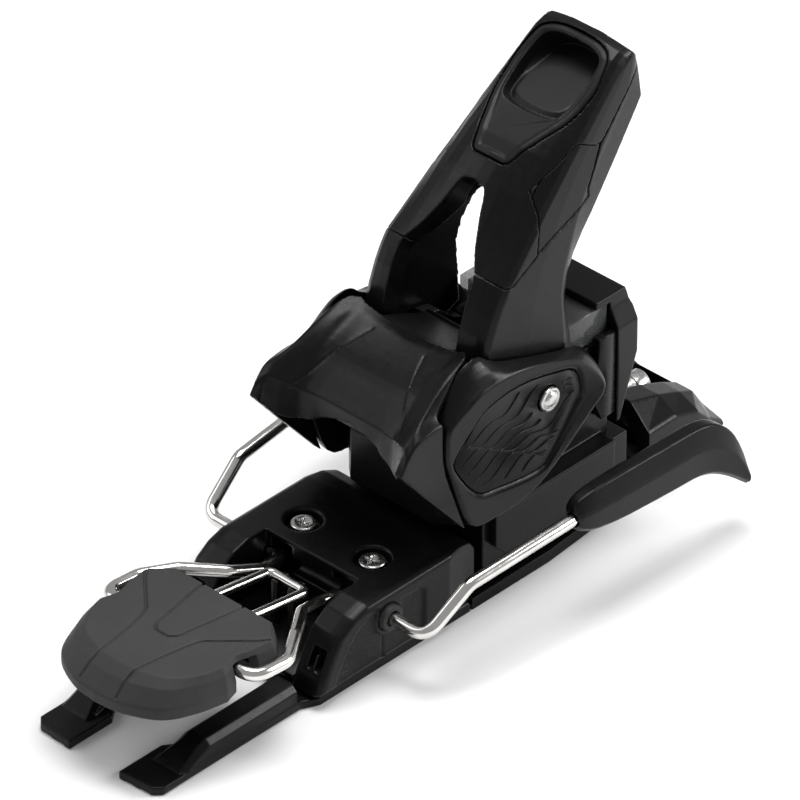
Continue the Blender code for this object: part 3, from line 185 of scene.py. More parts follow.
MATERIALS = {
    "black_plastic": moulded_plastic("black_plastic", (0.0028, 0.0028, 0.0029),
                                     (0.0056, 0.0056, 0.0058), 0.31),
    "soft_plastic": moulded_plastic("soft_plastic", (0.034, 0.034, 0.0343),
                                    (0.044, 0.044, 0.0444), 0.56, grain=0.00006),
    "dark_panel": moulded_plastic("dark_panel", (0.0020, 0.0020, 0.0021),
                                  (0.0040, 0.0040, 0.0042), 0.34, grain=0.00002),
    "clear_plastic": smoked_clear("clear_plastic"),
    "wire_steel": bare_metal("wire_steel", (0.80, 0.785, 0.76), 0.16),
    "screw_steel": bare_metal("screw_steel", (0.66, 0.655, 0.64), 0.25, stretch=(1.0, 1.0, 0.1)),
    "dark_steel": bare_metal("dark_steel", (0.17, 0.17, 0.18), 0.34),
}


# ---------------------------------------------------------------- mesh tools

def spline(points, steps):
    """Smooth line through the points."""
    points = [Vector(p) for p in points]
    ends = [points[0] * 2 - points[1]] + points + [points[-1] * 2 - points[-2]]
    line = []
    for a, b, c, d in zip(ends, ends[1:], ends[2:], ends[3:]):
        for k in range(steps):
            t = k / steps
            line.append(((b * 2) + (c - a) * t + (a * 2 - b * 5 + c * 4 - d) * t * t
                         + (b * 3 - a - c * 3 + d) * t ** 3) * 0.5)
    return line + [points[-1]]


def side_span(sign, near, far):
    """X limits of a stretch between two distances from the middle, on one side."""
    return sorted((sign * near, sign * far))


def joined(*parts):
    """Closed outline of several lines that share their end points."""
    ring = []
    for part in parts:
        ring += list(part)[:-1]
    return ring


def mirrored(half):
    """Right half of an (X, Y) outline, completed to the left."""
    half = [Vector(p) for p in half]
    return half + [Vector((-p.x, p.y)) for p in reversed(half) if abs(p.x) > 0.001]


def rounded(outline, radius, steps=4):
    """Outline with each corner replaced by an arc of about the radius."""
    outline = [Vector(p) for p in outline]
    line = []
    for k, corner in enumerate(outline):
        back = outline[k - 1] - corner
        ahead = outline[(k + 1) % len(outline)] - corner
        reach = min(radius, back.length * 0.45, ahead.length * 0.45)
        start = corner + back.normalized() * reach
        stop = corner + ahead.normalized() * reach
        for n in range(steps + 1):
            t = n / steps
            line.append(start * (1 - t) ** 2 + corner * 2 * t * (1 - t) + stop * t ** 2)
    return line


def grow(outline, distance):
    """Outline moved outwards by a distance."""
    outline = [Vector(p) for p in outline]
    count = len(outline)
    area = sum(outline[k].x * outline[(k + 1) % count].y
               - outline[(k + 1) % count].x * outline[k].y for k in range(count))
    sign = 1.0 if area > 0 else -1.0
    moved = []
    for k, here in enumerate(outline):
        first = (here - outline[k - 1]).normalized()
        second = (outline[(k + 1) % count] - here).normalized()
        n1 = Vector((first.y, -first.x)) * sign
        n2 = Vector((second.y, -second.x)) * sign
        middle = (n1 + n2).normalized()
        moved.append(here + middle * (distance / max(middle.dot(n1), 0.5)))
    return moved


def solid(points, faces):
    """Closed mesh from points in millimetres."""
    mesh = bpy.data.meshes.new("solid")
    mesh.from_pydata([Vector(p) for p in points], [], faces)
    shell = bmesh.new()
    shell.from_mesh(mesh)
    bmesh.ops.remove_doubles(shell, verts=shell.verts, dist=0.0005)
    bmesh.ops.recalc_face_normals(shell, faces=shell.faces)
    shell.to_mesh(mesh)
    shell.free()
    thing = bpy.data.objects.new("solid", mesh)
    bpy.context.collection.objects.link(thing)
    return thing


def loft(rings):
    count = len(rings[0])
    points = [p for ring in rings for p in ring]
    faces = [tuple(range(count)), tuple(range(len(points) - count, len(points)))]
    for r in range(len(rings) - 1):
        for k in range(count):
            a, b = r * count + k, r * count + (k + 1) % count
            faces.append((a, b, b + count, a + count))
    return solid(points, faces)


def smooth_loft(rings, steps):
    """Loft whose rings are joined by smooth lines."""
    lines = [spline(line, steps) for line in zip(*rings)]
    return loft([list(ring) for ring in zip(*lines)])


def slab(outline, low, high):
    """Outline in (Y, Z) between two X limits."""
    return loft([[(x, p[0], p[1]) for p in outline] for x in (low, high)])


def plate(outline, low, high):
    """Outline in (X, Y) between two heights."""
    return loft([[(p[0], p[1], z) for p in outline] for z in (low, high)])


def box(low, high):
    return plate([(low[0], low[1]), (high[0], low[1]), (high[0], high[1]), (low[0], high[1])],
                 low[2], high[2])


def lathe(profile, centre, axis, sides=40, closed=False):
    """Profile of (radius, distance along the axis) turned about the x or z axis."""
    ways = {"x": (Vector((0, 1, 0)), Vector((0, 0, 1)), Vector((1, 0, 0))),
            "z": (Vector((1, 0, 0)), Vector((0, 1, 0)), Vector((0, 0, 1)))}
    u, v, w = ways[axis]
    rings = []
    for radius, height in profile:
        rings.append([Vector(centre) + (u * math.cos(2 * math.pi * k / sides)
                                        + v * math.sin(2 * math.pi * k / sides)) * radius
                      + w * height for k in range(sides)])
    if not closed:
        return loft(rings)
    points = [p for ring in rings for p in ring]
    faces = []
    for r in range(len(rings)):
        for k in range(sides):
            a, b = r * sides + k, r * sides + (k + 1) % sides
            c = ((r + 1) % len(rings)) * sides
            faces.append((a, b, c + (k + 1) % sides, c + k))
    return solid(points, faces)


def rod(radius, centre, axis, low, high, sides=40):
    return lathe([(radius, low), (radius, high)], centre, axis, sides)


def sweep(path, radius, sides=20, ends=True):
    """Round bar along a path; its ends are domed."""
    path = [Vector(p) for p in path]
    radii = [radius] * len(path)
    if ends:
        for end, inward in ((0, 1), (-1, -2)):
            way = (path[end] - path[inward]).normalized()
            tip = path[end]
            caps = [(tip - way * radius * (1 - math.sin(a)), radius * math.cos(a))
                    for a in (0.0, 0.5, 1.0, 1.35)]
            if end == 0:
                path = [p for p, _ in reversed(caps)] + path[1:]
                radii = [r for _, r in reversed(caps)] + radii[1:]
            else:
                path = path[:-1] + [p for p, _ in caps]
                radii = radii[:-1] + [r for _, r in caps]
    rings = []
    side = None
    for k, here in enumerate(path):
        along = (path[min(k + 1, len(path) - 1)] - path[max(k - 1, 0)]).normalized()
        if side is None:
            side = along.orthogonal().normalized()
        side = (side - along * side.dot(along)).normalized()
        other = along.cross(side)
        rings.append([here + (side * math.cos(2 * math.pi * n / sides)
                              + other * math.sin(2 * math.pi * n / sides)) * radii[k]
                      for n in range(sides)])
    return loft(rings)


def bent_path(corners, bend, steps=14):
    corners = [Vector(c) for c in corners]
    path = [corners[0]]
    for before, corner, after in zip(corners, corners[1:], corners[2:]):
        back, ahead = before - corner, after - corner
        reach = min(bend / math.tan(back.angle(ahead) / 2.0), back.length * 0.48,
                    ahead.length * 0.48)
        start = corner + back.normalized() * reach
        stop = corner + ahead.normalized() * reach
        for k in range(steps + 1):
            t = k / steps
            path.append(start * (1 - t) ** 2 + corner * 2 * t * (1 - t) + stop * t ** 2)
    return path + [corners[-1]]


def settle(thing):
    """Applies the object's modifiers."""
    depsgraph = bpy.context.evaluated_depsgraph_get()
    mesh = bpy.data.meshes.new_from_object(thing.evaluated_get(depsgraph))
    thing.modifiers.clear()
    old = thing.data
    thing.data = mesh
    bpy.data.meshes.remove(old)
    return thing


def combine(thing, others, operation):
    for other in others:
        change = thing.modifiers.new("bool", "BOOLEAN")
        change.operation = operation
        change.solver = "EXACT"
        change.object = other
        settle(thing)
        bpy.data.objects.remove(other, do_unlink=True)
    return thing


def cut(thing, *others):
    return combine(thing, others, "DIFFERENCE")


def add(thing, *others):
    return combine(thing, others, "UNION")


def mirror(thing):
    """A copy on the other side of X = 0."""
    copy = bpy.data.objects.new("solid", thing.data.copy())
    bpy.context.collection.objects.link(copy)
    shell = bmesh.new()
    shell.from_mesh(copy.data)
    for vert in shell.verts:
        vert.co.x = -vert.co.x
    bmesh.ops.reverse_faces(shell, faces=shell.faces)
    shell.to_mesh(copy.data)
    shell.free()
    return copy


def mould(thing, rounds, voxel=0.42, keep=0.4):
    """Rounds every edge as a mould does: fine remesh, smoothing, then fewer triangles."""
    remesh = thing.modifiers.new("remesh", "REMESH")
    remesh.mode = "VOXEL"
    remesh.voxel_size = voxel * COARSE
    remesh.use_smooth_shade = True
    smooth = thing.modifiers.new("smooth", "SMOOTH")
    smooth.factor = 0.5
    smooth.iterations = rounds
    fewer = thing.modifiers.new("fewer", "DECIMATE")
    fewer.ratio = keep
    settle(thing)
    thing.data.shade_smooth()
    return thing


def bevel(thing, width=0.5, segments=3, angle=28.0):
    """Rounds the sharp edges of a simple solid."""
    shell = bmesh.new()
    shell.from_mesh(thing.data)
    bmesh.ops.dissolve_limit(shell, angle_limit=math.radians(0.8), verts=shell.verts,
                             edges=shell.edges)
    shell.to_mesh(thing.data)
    shell.free()
    change = thing.modifiers.new("bevel", "BEVEL")
    change.width = width
    change.segments = segments
    change.limit_method = "ANGLE"
    change.angle_limit = math.radians(angle)
    change.harden_normals = True
    settle(thing)
    thing.data.shade_smooth()
    thing.data.set_sharp_from_angle(angle=math.radians(50))
    return thing


def copy_of(node):
    """The node's CAD solid in millimetres."""
    mesh = frame["nodes"][node].data.copy()
    mesh.materials.clear()
    shell = bmesh.new()
    shell.from_mesh(mesh)
    for vert in shell.verts:
        vert.co *= 1.0 / MM
    bmesh.ops.remove_doubles(shell, verts=shell.verts, dist=0.0005)
    shell.to_mesh(mesh)
    shell.free()
    for name in [a.name for a in mesh.attributes if a.name == "custom_normal"]:
        mesh.attributes.remove(mesh.attributes[name])
    thing = bpy.data.objects.new("solid", mesh)
    bpy.context.collection.objects.link(thing)
    return thing


def piece(thing, name, node):
    """Names a finished solid, hangs it on its body and lets it stand for its CAD node."""
    slot = SLOT_OF[node]
    thing.name = name
    thing.data.name = name
    thing.data.transform(Matrix.Scale(MM, 4))
    thing.data.materials.clear()
    thing.data.materials.append(MATERIALS[slot])
    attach(thing, BODY_OF[node])
    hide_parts(node)
    return thing


def groove(thing, line, axis, width, depth, away=60.0):
    """Cuts a seam along a line, following the surface seen along an axis."""
    tree = BVHTree.FromObject(thing, bpy.context.evaluated_depsgraph_get())
    axis = Vector(axis)
    rings = []
    line = [Vector(p) for p in line]
    for k, here in enumerate(line):
        hit = tree.ray_cast(here + axis * away, -axis)[0]
        floor = (hit if hit is not None else here) - axis * depth
        along = (line[min(k + 1, len(line) - 1)] - line[max(k - 1, 0)])
        across = along.cross(axis).normalized() * width / 2
        top = floor + axis * (depth + 3.0)
        rings.append([floor - across, floor + across, top + across * 1.3, top - across * 1.3])
    return cut(thing, loft(rings))



# ---------------------------------------------------------------- lever

def lever_at(x, p, q):
    """Point at p along the lever and q in front of its axle line."""
    return Vector((x, PIVOT_Y + p * math.cos(LEVER_LEAN) - q * math.sin(LEVER_LEAN),
                   PIVOT_Z + p * math.sin(LEVER_LEAN) + q * math.cos(LEVER_LEAN)))


def lever_half(p):
    return LEVER_HALF - LEVER_TAPER * max(p - LEVER_TAPER_FROM, 0.0)


def table(rows, column, p):
    """Value of a column at p, by straight lines between the rows."""
    for low, high in zip(rows, rows[1:]):
        if p <= high[0]:
            share = (p - low[0]) / (high[0] - low[0])
            return low[column] + (high[column] - low[column]) * max(share, 0.0)
    return rows[-1][column]


# p, front edge, crown height, start of the rear band, rear edge
LEVER_ROWS = (
    (-9.6, 8.0, 0.5, 4.0, -2.0), (-6.0, 16.0, 1.0, 0.0, -6.0), (0.0, 35.0, 1.6, -2.0, -9.4),
    (8.0, 39.0, 2.4, -6.0, -13.0), (15.5, 41.8, 3.0, -9.0, -17.0), (21.0, 43.2, 3.4, -4.0, -11.5),
    (27.0, 44.2, 3.8, 2.0, -5.0), (34.5, 43.4, 4.4, 9.0, 3.4), (42.0, 42.6, 5.2, 13.0, 7.6),
    (50.0, 41.8, 6.4, 15.5, 9.0), (58.0, 41.2, 7.4, 17.5, 9.0), (66.0, 40.0, 8.0, 19.0, 8.4),
    (74.0, 39.0, 8.0, 20.0, 8.2), (85.0, 37.4, 6.2, 20.6, 8.0), (96.0, 35.6, 3.9, 20.4, 8.0),
    (104.0, 34.4, 2.6, 20.0, 8.0), (109.5, 33.6, 1.9, 20.0, 8.2), (115.0, 32.6, 1.5, 22.0, 14.2),
    (118.8, 30.8, 1.0, 23.6, 18.6), (121.2, 28.4, 0.5, 25.0, 22.2))
# (p, q) outlines of the cover's side and of an inlay
SEAM = ((27.5, 80.0), (27.5, 41.5), (28.6, 39.6), (42.9, 32.7), (61.9, 43.2), (75.0, 38.3),
        (82.6, 35.6), (84.4, 34.0), (86.6, 25.6), (88.2, 23.4), (92.0, 22.6), (118.3, 19.6),
        (140.0, 18.0), (140.0, 80.0))
INLAY = ((43.4, 32.6), (61.9, 43.2), (75.0, 38.3), (82.6, 35.6), (84.4, 34.0), (86.6, 25.6),
         (88.2, 23.4), (80.0, 21.2), (72.0, 19.4), (69.6, 16.6), (60.0, 22.4), (51.7, 27.9))
# Half width of the gap between the legs, and p
GAP_HALF = ((LEVER_GAP, -30.0), (LEVER_GAP, 10.0), (LEVER_GAP, 20.0), (16.8, 27.0), (13.2, 33.5),
            (10.2, 40.5), (7.8, 47.0), (6.4, 52.0), (4.6, 55.6), (0.0, 56.8))
# p and half width along the pole-tip cup, then X and p round its tip and round its bowl
SCOOP = ((66.8, 8.2), (69.5, 9.5), (72.5, 10.4), (76.0, 12.0), (80.0, 13.6), (84.0, 15.4),
         (88.0, 16.9), (93.0, 18.0), (99.0, 18.6), (105.0, 18.5), (111.0, 17.4))
SCOOP_TIP = ((17.4, 111.0), (16.2, 114.6), (13.4, 117.4), (8.0, 119.2), (0.0, 119.9))
BOWL = ((0.0, 85.4), (6.0, 85.8), (10.5, 86.8), (13.2, 88.8), (14.4, 95.0), (14.9, 103.0),
        (14.2, 110.0), (12.9, 113.6), (9.8, 115.6), (5.0, 116.5), (0.0, 116.7))


def lever_section(p):
    """Right half of the lever's section at p, as (share of the half width, q)."""
    front, crown, band, rear = [table(LEVER_ROWS, k, p) for k in (1, 2, 3, 4)]
    return [(0.0, front + crown), (0.2, front + crown * 0.97), (0.4, front + crown * 0.86),
            (0.58, front + crown * 0.66), (0.74, front + crown * 0.38), (0.86, front + 0.1),
            (0.94, front - 1.7), (0.985, front - 4.2), (1.0, (band + front) / 2),
            (1.0, band + 0.8), (0.985, band - 1.0), (0.93, rear + 1.2), (0.88, rear), (0.0, rear)]


def lever_skin(x, p):
    """Height of the lever's front at x and p."""
    return table(lever_section(p)[:8], 1, abs(x) / lever_half(p))


def lever_ring(p):
    half = lever_half(p)
    right = [(share * half, q) for share, q in lever_section(p)]
    bulge = 2.0 * max(p - 104.0, 0.0) / 17.0
    ring = right + [(-x, q) for x, q in reversed(right[1:-1])]
    return [lever_at(x, p + bulge * (1.0 - (x / half) ** 2), q) for x, q in ring]


def lever_prism(outline, low, high, shift=0.0):
    """(p, q) outline between two X limits, which may be functions of p."""
    moved = grow(outline, shift) if shift else [Vector(point) for point in outline]
    return loft([[lever_at(limit(p) if callable(limit) else limit, p, q) for p, q in moved]
                 for limit in (low, high)])


def across_lever(outline, low, high):
    """(X, p) outline between two distances in front of the axle line."""
    return loft([[lever_at(x, p, q) for x, p in outline] for q in (low, high)])


def lever_body():
    rows = [row[0] for row in LEVER_ROWS]
    stations = sorted(set(rows + [a + (b - a) * k / 4 for a, b in zip(rows, rows[1:])
                                  for k in (1, 2, 3)]))
    body = loft([lever_ring(p) for p in stations])
    hollow = []
    for p in (-30.0, -9.6, 0.0, 8.0, 15.0, 27.0, 42.0, 56.0, 66.0):
        wall = lever_half(p) - LEVER_WALL
        top = table(LEVER_ROWS, 1, p) - (6.5 if p < 60.0 else 14.0)
        hollow.append([lever_at(-wall, p, -60.0), lever_at(wall, p, -60.0),
                       lever_at(wall, p, top - 3.0), lever_at(wall - 3.0, p, top),
                       lever_at(3.0 - wall, p, top), lever_at(-wall, p, top - 3.0)])
    gap = [(x, p) for x, p in mirrored(spline(GAP_HALF, 5))]
    cut(body, loft(hollow), across_lever(gap, -60.0, 90.0),
        rod(LEVER_BORE, (0.0, PIVOT_Y, PIVOT_Z), "x", -40.0, 40.0))
    return body


def scoop_line(distance):
    half = joined([(0.0, 65.9), (6.6, 65.9), (8.2, 66.8)],
                  spline([(x, p) for p, x in SCOOP], 4), spline(SCOOP_TIP, 4))
    return grow(mirrored([(p[0], p[1]) for p in half] + [SCOOP_TIP[-1]]), distance)


def lever():
    body = lever_body()
    cover = bpy.data.objects.new("solid", body.data.copy())
    bpy.context.collection.objects.link(cover)
    combine(cover, [lever_prism(SEAM, -40.0, 40.0, -0.1)], "INTERSECT")
    pocket = loft([[lever_at(x, p, q) for x, p in scoop_line(0.35)] for q in (15.0, 80.0)])
    cut(cover, pocket)
    skin = [bpy.data.objects.new("solid", body.data.copy()) for _ in SIDES]
    cut(body, lever_prism(SEAM, -40.0, 40.0, 0.1))
    for (side, sign), inlay in zip(SIDES, skin):
        bpy.context.collection.objects.link(inlay)
        combine(inlay, [lever_prism(INLAY, lambda p: sign * 0.80 * lever_half(p), sign * 40.0,
                                    -0.15)], "INTERSECT")
        inlay.data.transform(Matrix.Translation((-sign * 0.3, 0.0, 0.0)))
        cut(body, lever_prism(INLAY, lambda p: sign * 0.78 * lever_half(p), sign * 40.0, 0.15))
        piece(mould(inlay, 2, 0.32), "lever_inlay_%s_look" % side, "lever_inlay_" + side)
    piece(mould(body, 3, keep=0.35), "lever_frame_look", "lever_frame")
    piece(mould(cover, 3), "lever_cover_look", "lever_cover")
    lever_scoop()


def lever_scoop():
    """Dish for the tip of a ski pole: flat tongue, deep bowl with a curved lip."""
    def rim(distance, deep):
        return [lever_at(x, p, lever_skin(x, p) - deep) for x, p in scoop_line(distance)]
    dish = loft([[lever_at(x, p, 16.0) for x, p in scoop_line(-0.05)], rim(-0.05, 1.0),
                 rim(-0.45, 0.3), rim(-2.0, 0.3), rim(-2.9, 1.0)])
    mouth = mirrored([(p[0], p[1]) for p in spline(BOWL, 4)] + [BOWL[-1]])
    start = BOWL[0][1]
    bowl = loft([[lever_at(x * 0.84, 89.0 + (p - start) * 0.86, 37.5 - 0.58 * (p - start))
                  for x, p in mouth],
                 [lever_at(x * 0.95, 86.6 + (p - start) * 0.95, lever_skin(x, p) - 5.5)
                  for x, p in mouth],
                 [lever_at(x, p, lever_skin(x, p) + 0.2) for x, p in mouth],
                 [lever_at(x, p, 80.0) for x, p in mouth]])
    cut(dish, bowl)
    piece(mould(dish, 3, 0.36), "lever_cup_insert_look", "lever_cup_insert")
    dish.data.materials[0] = moulded_plastic("scoop_plastic", (0.0060, 0.0060, 0.0061),
                                             (0.0100, 0.0100, 0.0102), 0.40)


lever()


# ---------------------------------------------------------------- heel cup

# Share of the half width, then the (Y, Z) top line from the lip backwards and the inner line
CUP_ROWS = (
    (0.0, [(6.3, 78.4), (5.6, 83.6), (17.3, 94.7), (31.6, 100.7), (38.0, 100.7)],
     [(38.0, 97.6), (31.8, 97.6), (19.2, 91.6), (9.2, 82.6), (9.2, 78.4)]),
    (0.325, [(5.8, 75.4), (5.6, 83.6), (17.3, 94.8), (31.6, 101.0), (38.2, 102.0)],
     [(38.2, 98.8), (31.8, 97.8), (19.2, 91.7), (9.2, 82.6), (8.8, 75.4)]),
    (0.46, [(4.6, 72.8), (5.4, 83.5), (17.2, 95.0), (31.3, 101.4), (38.2, 102.8)],
     [(38.2, 99.4), (31.5, 98.2), (19.1, 91.9), (8.8, 82.8), (7.8, 72.8)]),
    (0.596, [(3.3, 71.8), (4.6, 83.4), (17.0, 95.3), (31.0, 102.0), (38.2, 103.8)],
     [(38.2, 100.4), (31.2, 98.8), (19.0, 92.2), (8.2, 83.0), (6.6, 71.8)]),
    (0.68, [(1.6, 71.2), (3.2, 84.6), (15.6, 95.8), (27.0, 102.2), (38.2, 105.0)],
     [(38.2, 101.6), (27.6, 98.8), (17.4, 92.4), (7.2, 83.4), (5.2, 71.4)]),
    (0.77, [(-0.5, 71.8), (1.4, 85.9), (13.0, 95.4), (23.4, 101.6), (34.0, 105.4)],
     [(34.0, 102.0), (24.4, 98.2), (15.0, 92.0), (5.6, 84.0), (3.4, 72.2)]),
    (0.83, [(-2.4, 73.8), (-0.2, 87.0), (10.6, 94.8), (19.6, 99.6), (26.0, 102.0)],
     [(26.0, 98.4), (20.6, 96.0), (12.4, 91.4), (4.4, 84.4), (1.4, 74.4)]),
    (0.9, [(-4.6, 76.4), (-1.2, 87.6), (5.0, 92.2), (12.0, 93.8), (15.6, 94.4)],
     [(15.6, 90.4), (12.4, 89.8), (6.2, 88.0), (3.2, 84.4), (-0.6, 77.4)]),
    (0.992, [(-6.6, 79.5), (-4.0, 83.8), (0.6, 88.8), (8.0, 90.6), (15.0, 90.8)],
     [(15.0, 86.4), (9.0, 86.2), (3.4, 84.8), (0.4, 82.0), (-3.4, 79.2)]))
# (Y, Z) outlines of a cheek where it meets the housing, at its face, and of its panel
CHEEK_INNER = ((15.8, 76.0), (16.0, 87.5), (19.4, 93.0), (24.9, 100.0), (31.0, 105.0),
               (38.5, 105.6), (44.0, 101.4), (50.0, 98.0), (60.0, 94.2), (70.0, 90.6),
               (80.0, 87.4), (91.0, 84.0), (98.8, 73.0), (99.8, 63.8), (91.0, 57.5),
               (74.3, 45.5), (60.6, 38.8), (42.7, 37.2), (27.0, 41.4), (17.0, 69.0))
CHEEK_OUTER = ((16.0, 76.0), (16.6, 86.0), (19.4, 89.6), (26.0, 92.8), (32.5, 95.6),
               (38.0, 96.4), (43.5, 96.8), (50.0, 96.2), (58.0, 94.8), (66.0, 92.2),
               (75.0, 88.8), (86.0, 83.4), (96.0, 72.0), (97.6, 64.6), (89.8, 58.6),
               (73.7, 46.7), (60.2, 40.0), (42.9, 38.4), (28.2, 42.2), (17.8, 69.2))
ART_PANEL = ((22.3, 75.3), (20.8, 69.6), (31.5, 54.3), (42.7, 50.8), (63.0, 48.0), (70.8, 52.7),
             (82.5, 66.2), (85.0, 70.0), (82.0, 80.6), (70.8, 85.0), (53.0, 88.5), (37.6, 87.0),
             (30.0, 82.0))
CHEEK_IN, CHEEK_OUT = 30.6, 38.0
PIN_HOLE = 5.2
RIVET_CLEAR = 7.4


def ring_spline(outline, steps=4):
    """Closed smooth outline through the points."""
    points = [Vector(p) for p in outline]
    count = len(points)
    line = []
    for k in range(count):
        a, b, c, d = (points[(k + n) % count] for n in (-1, 0, 1, 2))
        for n in range(steps):
            t = n / steps
            line.append(((b * 2) + (c - a) * t + (a * 2 - b * 5 + c * 4 - d) * t * t
                         + (b * 3 - a - c * 3 + d) * t ** 3) * 0.5)
    return line


def heel_cup():
    rings = []
    rows = [(-share, top, inner) for share, top, inner in reversed(CUP_ROWS[1:])] + list(CUP_ROWS)
    for share, top, inner in rows:
        lip = [Vector(top[0]), Vector(top[0]).lerp(Vector(top[1]), 0.5)]
        line = lip + spline(top[1:], 5) + spline(inner, 4)
        rings.append([(share * CUP_HALF, p[0], p[1]) for p in line])
    shell = smooth_loft(rings, 6)
    saddle = spline([(34.0, 101.0), (37.5, 101.0), (42.0, 99.6), (53.0, 94.8), (64.0, 89.8)], 5)
    under = [(64.0, 86.8), (53.0, 91.6), (42.0, 96.0), (34.0, 98.0)]
    tongue = [(p[0], p[1]) for p in saddle] + under
    add(shell, slab(tongue, -16.2, 16.2))
    rim = [(61.6, 91.0), (63.0, 91.6), (64.2, 90.6), (64.2, 87.0), (61.6, 88.0)]
    add(shell, slab(rim, -16.2, 16.2))
    wall = joined(spline([(-6.4, 79.4), (-3.6, 83.6), (0.9, 88.2), (8.0, 90.0), (15.0, 90.2)], 4),
                  [(15.0, 90.2), (15.4, 76.0), (16.6, 69.0), (26.6, 40.6), (24.8, 42.4)],
                  spline([(24.8, 42.4), (15.0, 53.9), (5.0, 65.6), (-6.4, 79.4)], 5))
    for _, sign in SIDES:
        add(shell, slab(wall, *side_span(sign, CUP_HALF - 3.7, CUP_HALF - 0.1)))
    for _, sign in SIDES:
        crease = spline([(sign * 26.2, 3.0, 80.0), (sign * 24.7, 5.8, 83.6),
                         (sign * 18.1, 17.3, 94.7), (sign * 12.3, 31.6, 100.7)], 8)
        groove(shell, crease[4:], (0.0, -0.5, 0.866), 0.8, 0.45)
    piece(mould(shell, 4, 0.45), "heel_cup_shell_look", "heel_cup_shell")


def inside(point, outline):
    """Whether a (Y, Z) point lies inside an outline."""
    y, z = point
    odd = False
    for a, b in zip(outline, list(outline[1:]) + [outline[0]]):
        if (a[1] > z) != (b[1] > z) and y < (b[0] - a[0]) * (z - a[1]) / (b[1] - a[1]) + a[0]:
            odd = not odd
    return odd


def contour_lines():
    """Plain wavy contour lines for the side panel, as (Y, Z) runs clear of the rivet."""
    edge = grow(ART_PANEL, -2.0)
    runs = []
    for k in range(10):
        run = []
        for n in range(90):
            y = 19.0 + n * 0.75
            z = 44.0 + 4.3 * k + 3.4 * math.sin(0.115 * y + 0.8 * k) \
                + 1.6 * math.sin(0.31 * y + 1.7 * k) + 0.10 * (y - 50.0)
            clear = math.hypot(y - PIVOT_Y, z - PIVOT_Z) > RIVET_CLEAR
            if clear and inside((y, z), edge):
                run.append((y, z))
            else:
                runs.append(run)
                run = []
        runs.append(run)
    return [run for run in runs if len(run) > 6]


def cheeks():
    inner, outer = ring_spline(CHEEK_INNER), ring_spline(CHEEK_OUTER)
    rings = []
    for x, share in ((CHEEK_IN, 0.0), (32.4, 0.12), (34.0, 0.30), (35.6, 0.56), (36.8, 0.84),
                     (37.3, 1.0)):
        rings.append([(x, *a.lerp(b, share)) for a, b in zip(inner, outer)])
    rings.append([(CHEEK_OUT, p[0], p[1]) for p in grow(outer, -0.9)])
    panel = ring_spline(ART_PANEL, 3)
    recess = loft([[(x, p[0], p[1]) for p in grow(panel, out)]
                   for x, out in ((36.1, 0.35), (37.1, 0.35), (38.4, 2.6), (40.0, 2.6))])
    cheek = loft(rings)
    cut(cheek, recess, rod(PIN_HOLE, (0.0, PIVOT_Y, PIVOT_Z), "x", 28.0, 41.0))
    mould(cheek, 4)
    art = slab(panel, 36.4, 37.2)
    cut(art, rod(PIN_HOLE, (0.0, PIVOT_Y, PIVOT_Z), "x", 28.0, 41.0))
    bevel(art, 0.25, 2)
    for run in contour_lines():
        line = sweep([(37.2, y, z) for y, z in run], 0.36, 8)
        shell = bmesh.new()
        shell.from_mesh(art.data)
        shell.from_mesh(line.data)
        shell.to_mesh(art.data)
        shell.free()
        bpy.data.objects.remove(line, do_unlink=True)
    art.data.shade_smooth()
    art.data.set_sharp_from_angle(angle=math.radians(50))
    piece(mirror(cheek), "cheek_left_look", "cheek_left")
    piece(cheek, "cheek_right_look", "cheek_right")
    piece(mirror(art), "side_panel_left_look", "side_panel_left")
    piece(art, "side_panel_right_look", "side_panel_right")


def axle_pin():
    half = [(4.0, 0.0), (4.0, 37.0), (4.7, 37.2), (4.8, 38.2), (4.5, 38.7), (3.9, 38.9),
            (3.5, 38.75), (3.3, 39.0), (2.9, 39.5), (2.1, 39.85), (1.0, 39.98), (0.2, 40.0)]
    profile = [(r, -h) for r, h in reversed(half[1:])] + half[1:]
    pin = lathe(profile, (0.0, PIVOT_Y, PIVOT_Z), "x", 48)
    pin.data.shade_smooth()
    pin.data.set_sharp_from_angle(angle=math.radians(40))
    piece(pin, "axle_pin_look", "axle_pin")


heel_cup()
cheeks()
axle_pin()


# ---------------------------------------------------------------- brake

HOOK = (-80.0, 33.0)    # Y and Z of the wires' front crosspiece, inside the pedal
ARM_ROUTE = ((17.0, -80.0, 33.0), (36.5, -80.0, 33.0), (36.5, -63.0, 31.5), (28.5, -51.0, 32.0),
             (17.5, -36.5, 28.5), (14.5, -24.0, 24.5), (15.0, -11.4, 22.6), (53.5, -11.4, 22.6),
             (56.0, 7.9, 36.3), (61.0, 88.0, 42.0))
SPRING_ROUTE = ((-9.0, -70.0, 30.6), (-9.0, -53.0, 31.2), (-9.0, -25.0, 27.0), (9.0, -25.0, 27.0),
                (9.0, -53.0, 31.2), (9.0, -70.0, 30.6))
# Half outlines of the pedal's top and of its rim, from the rear middle to the front middle
PEDAL_TOP_REAR = ((0.0, -57.4), (23.2, -57.4), (30.6, -64.8))
PEDAL_TOP_SIDE = ((30.6, -64.8), (29.4, -74.1), (27.8, -80.0), (28.4, -84.0), (29.6, -88.0))
PEDAL_TOP_FRONT = ((29.6, -88.0), (26.6, -97.0), (20.0, -105.0), (9.4, -109.0), (0.0, -110.2))
PEDAL_RIM_REAR = ((0.0, -56.4), (25.0, -56.4), (33.2, -64.5))
PEDAL_RIM_SIDE = ((33.2, -64.5), (32.4, -74.0), (31.0, -80.0), (31.9, -84.5), (33.4, -89.4))
PEDAL_RIM_FRONT = ((33.4, -89.4), (30.6, -101.6), (24.4, -113.0), (11.4, -119.8), (0.0, -121.4))
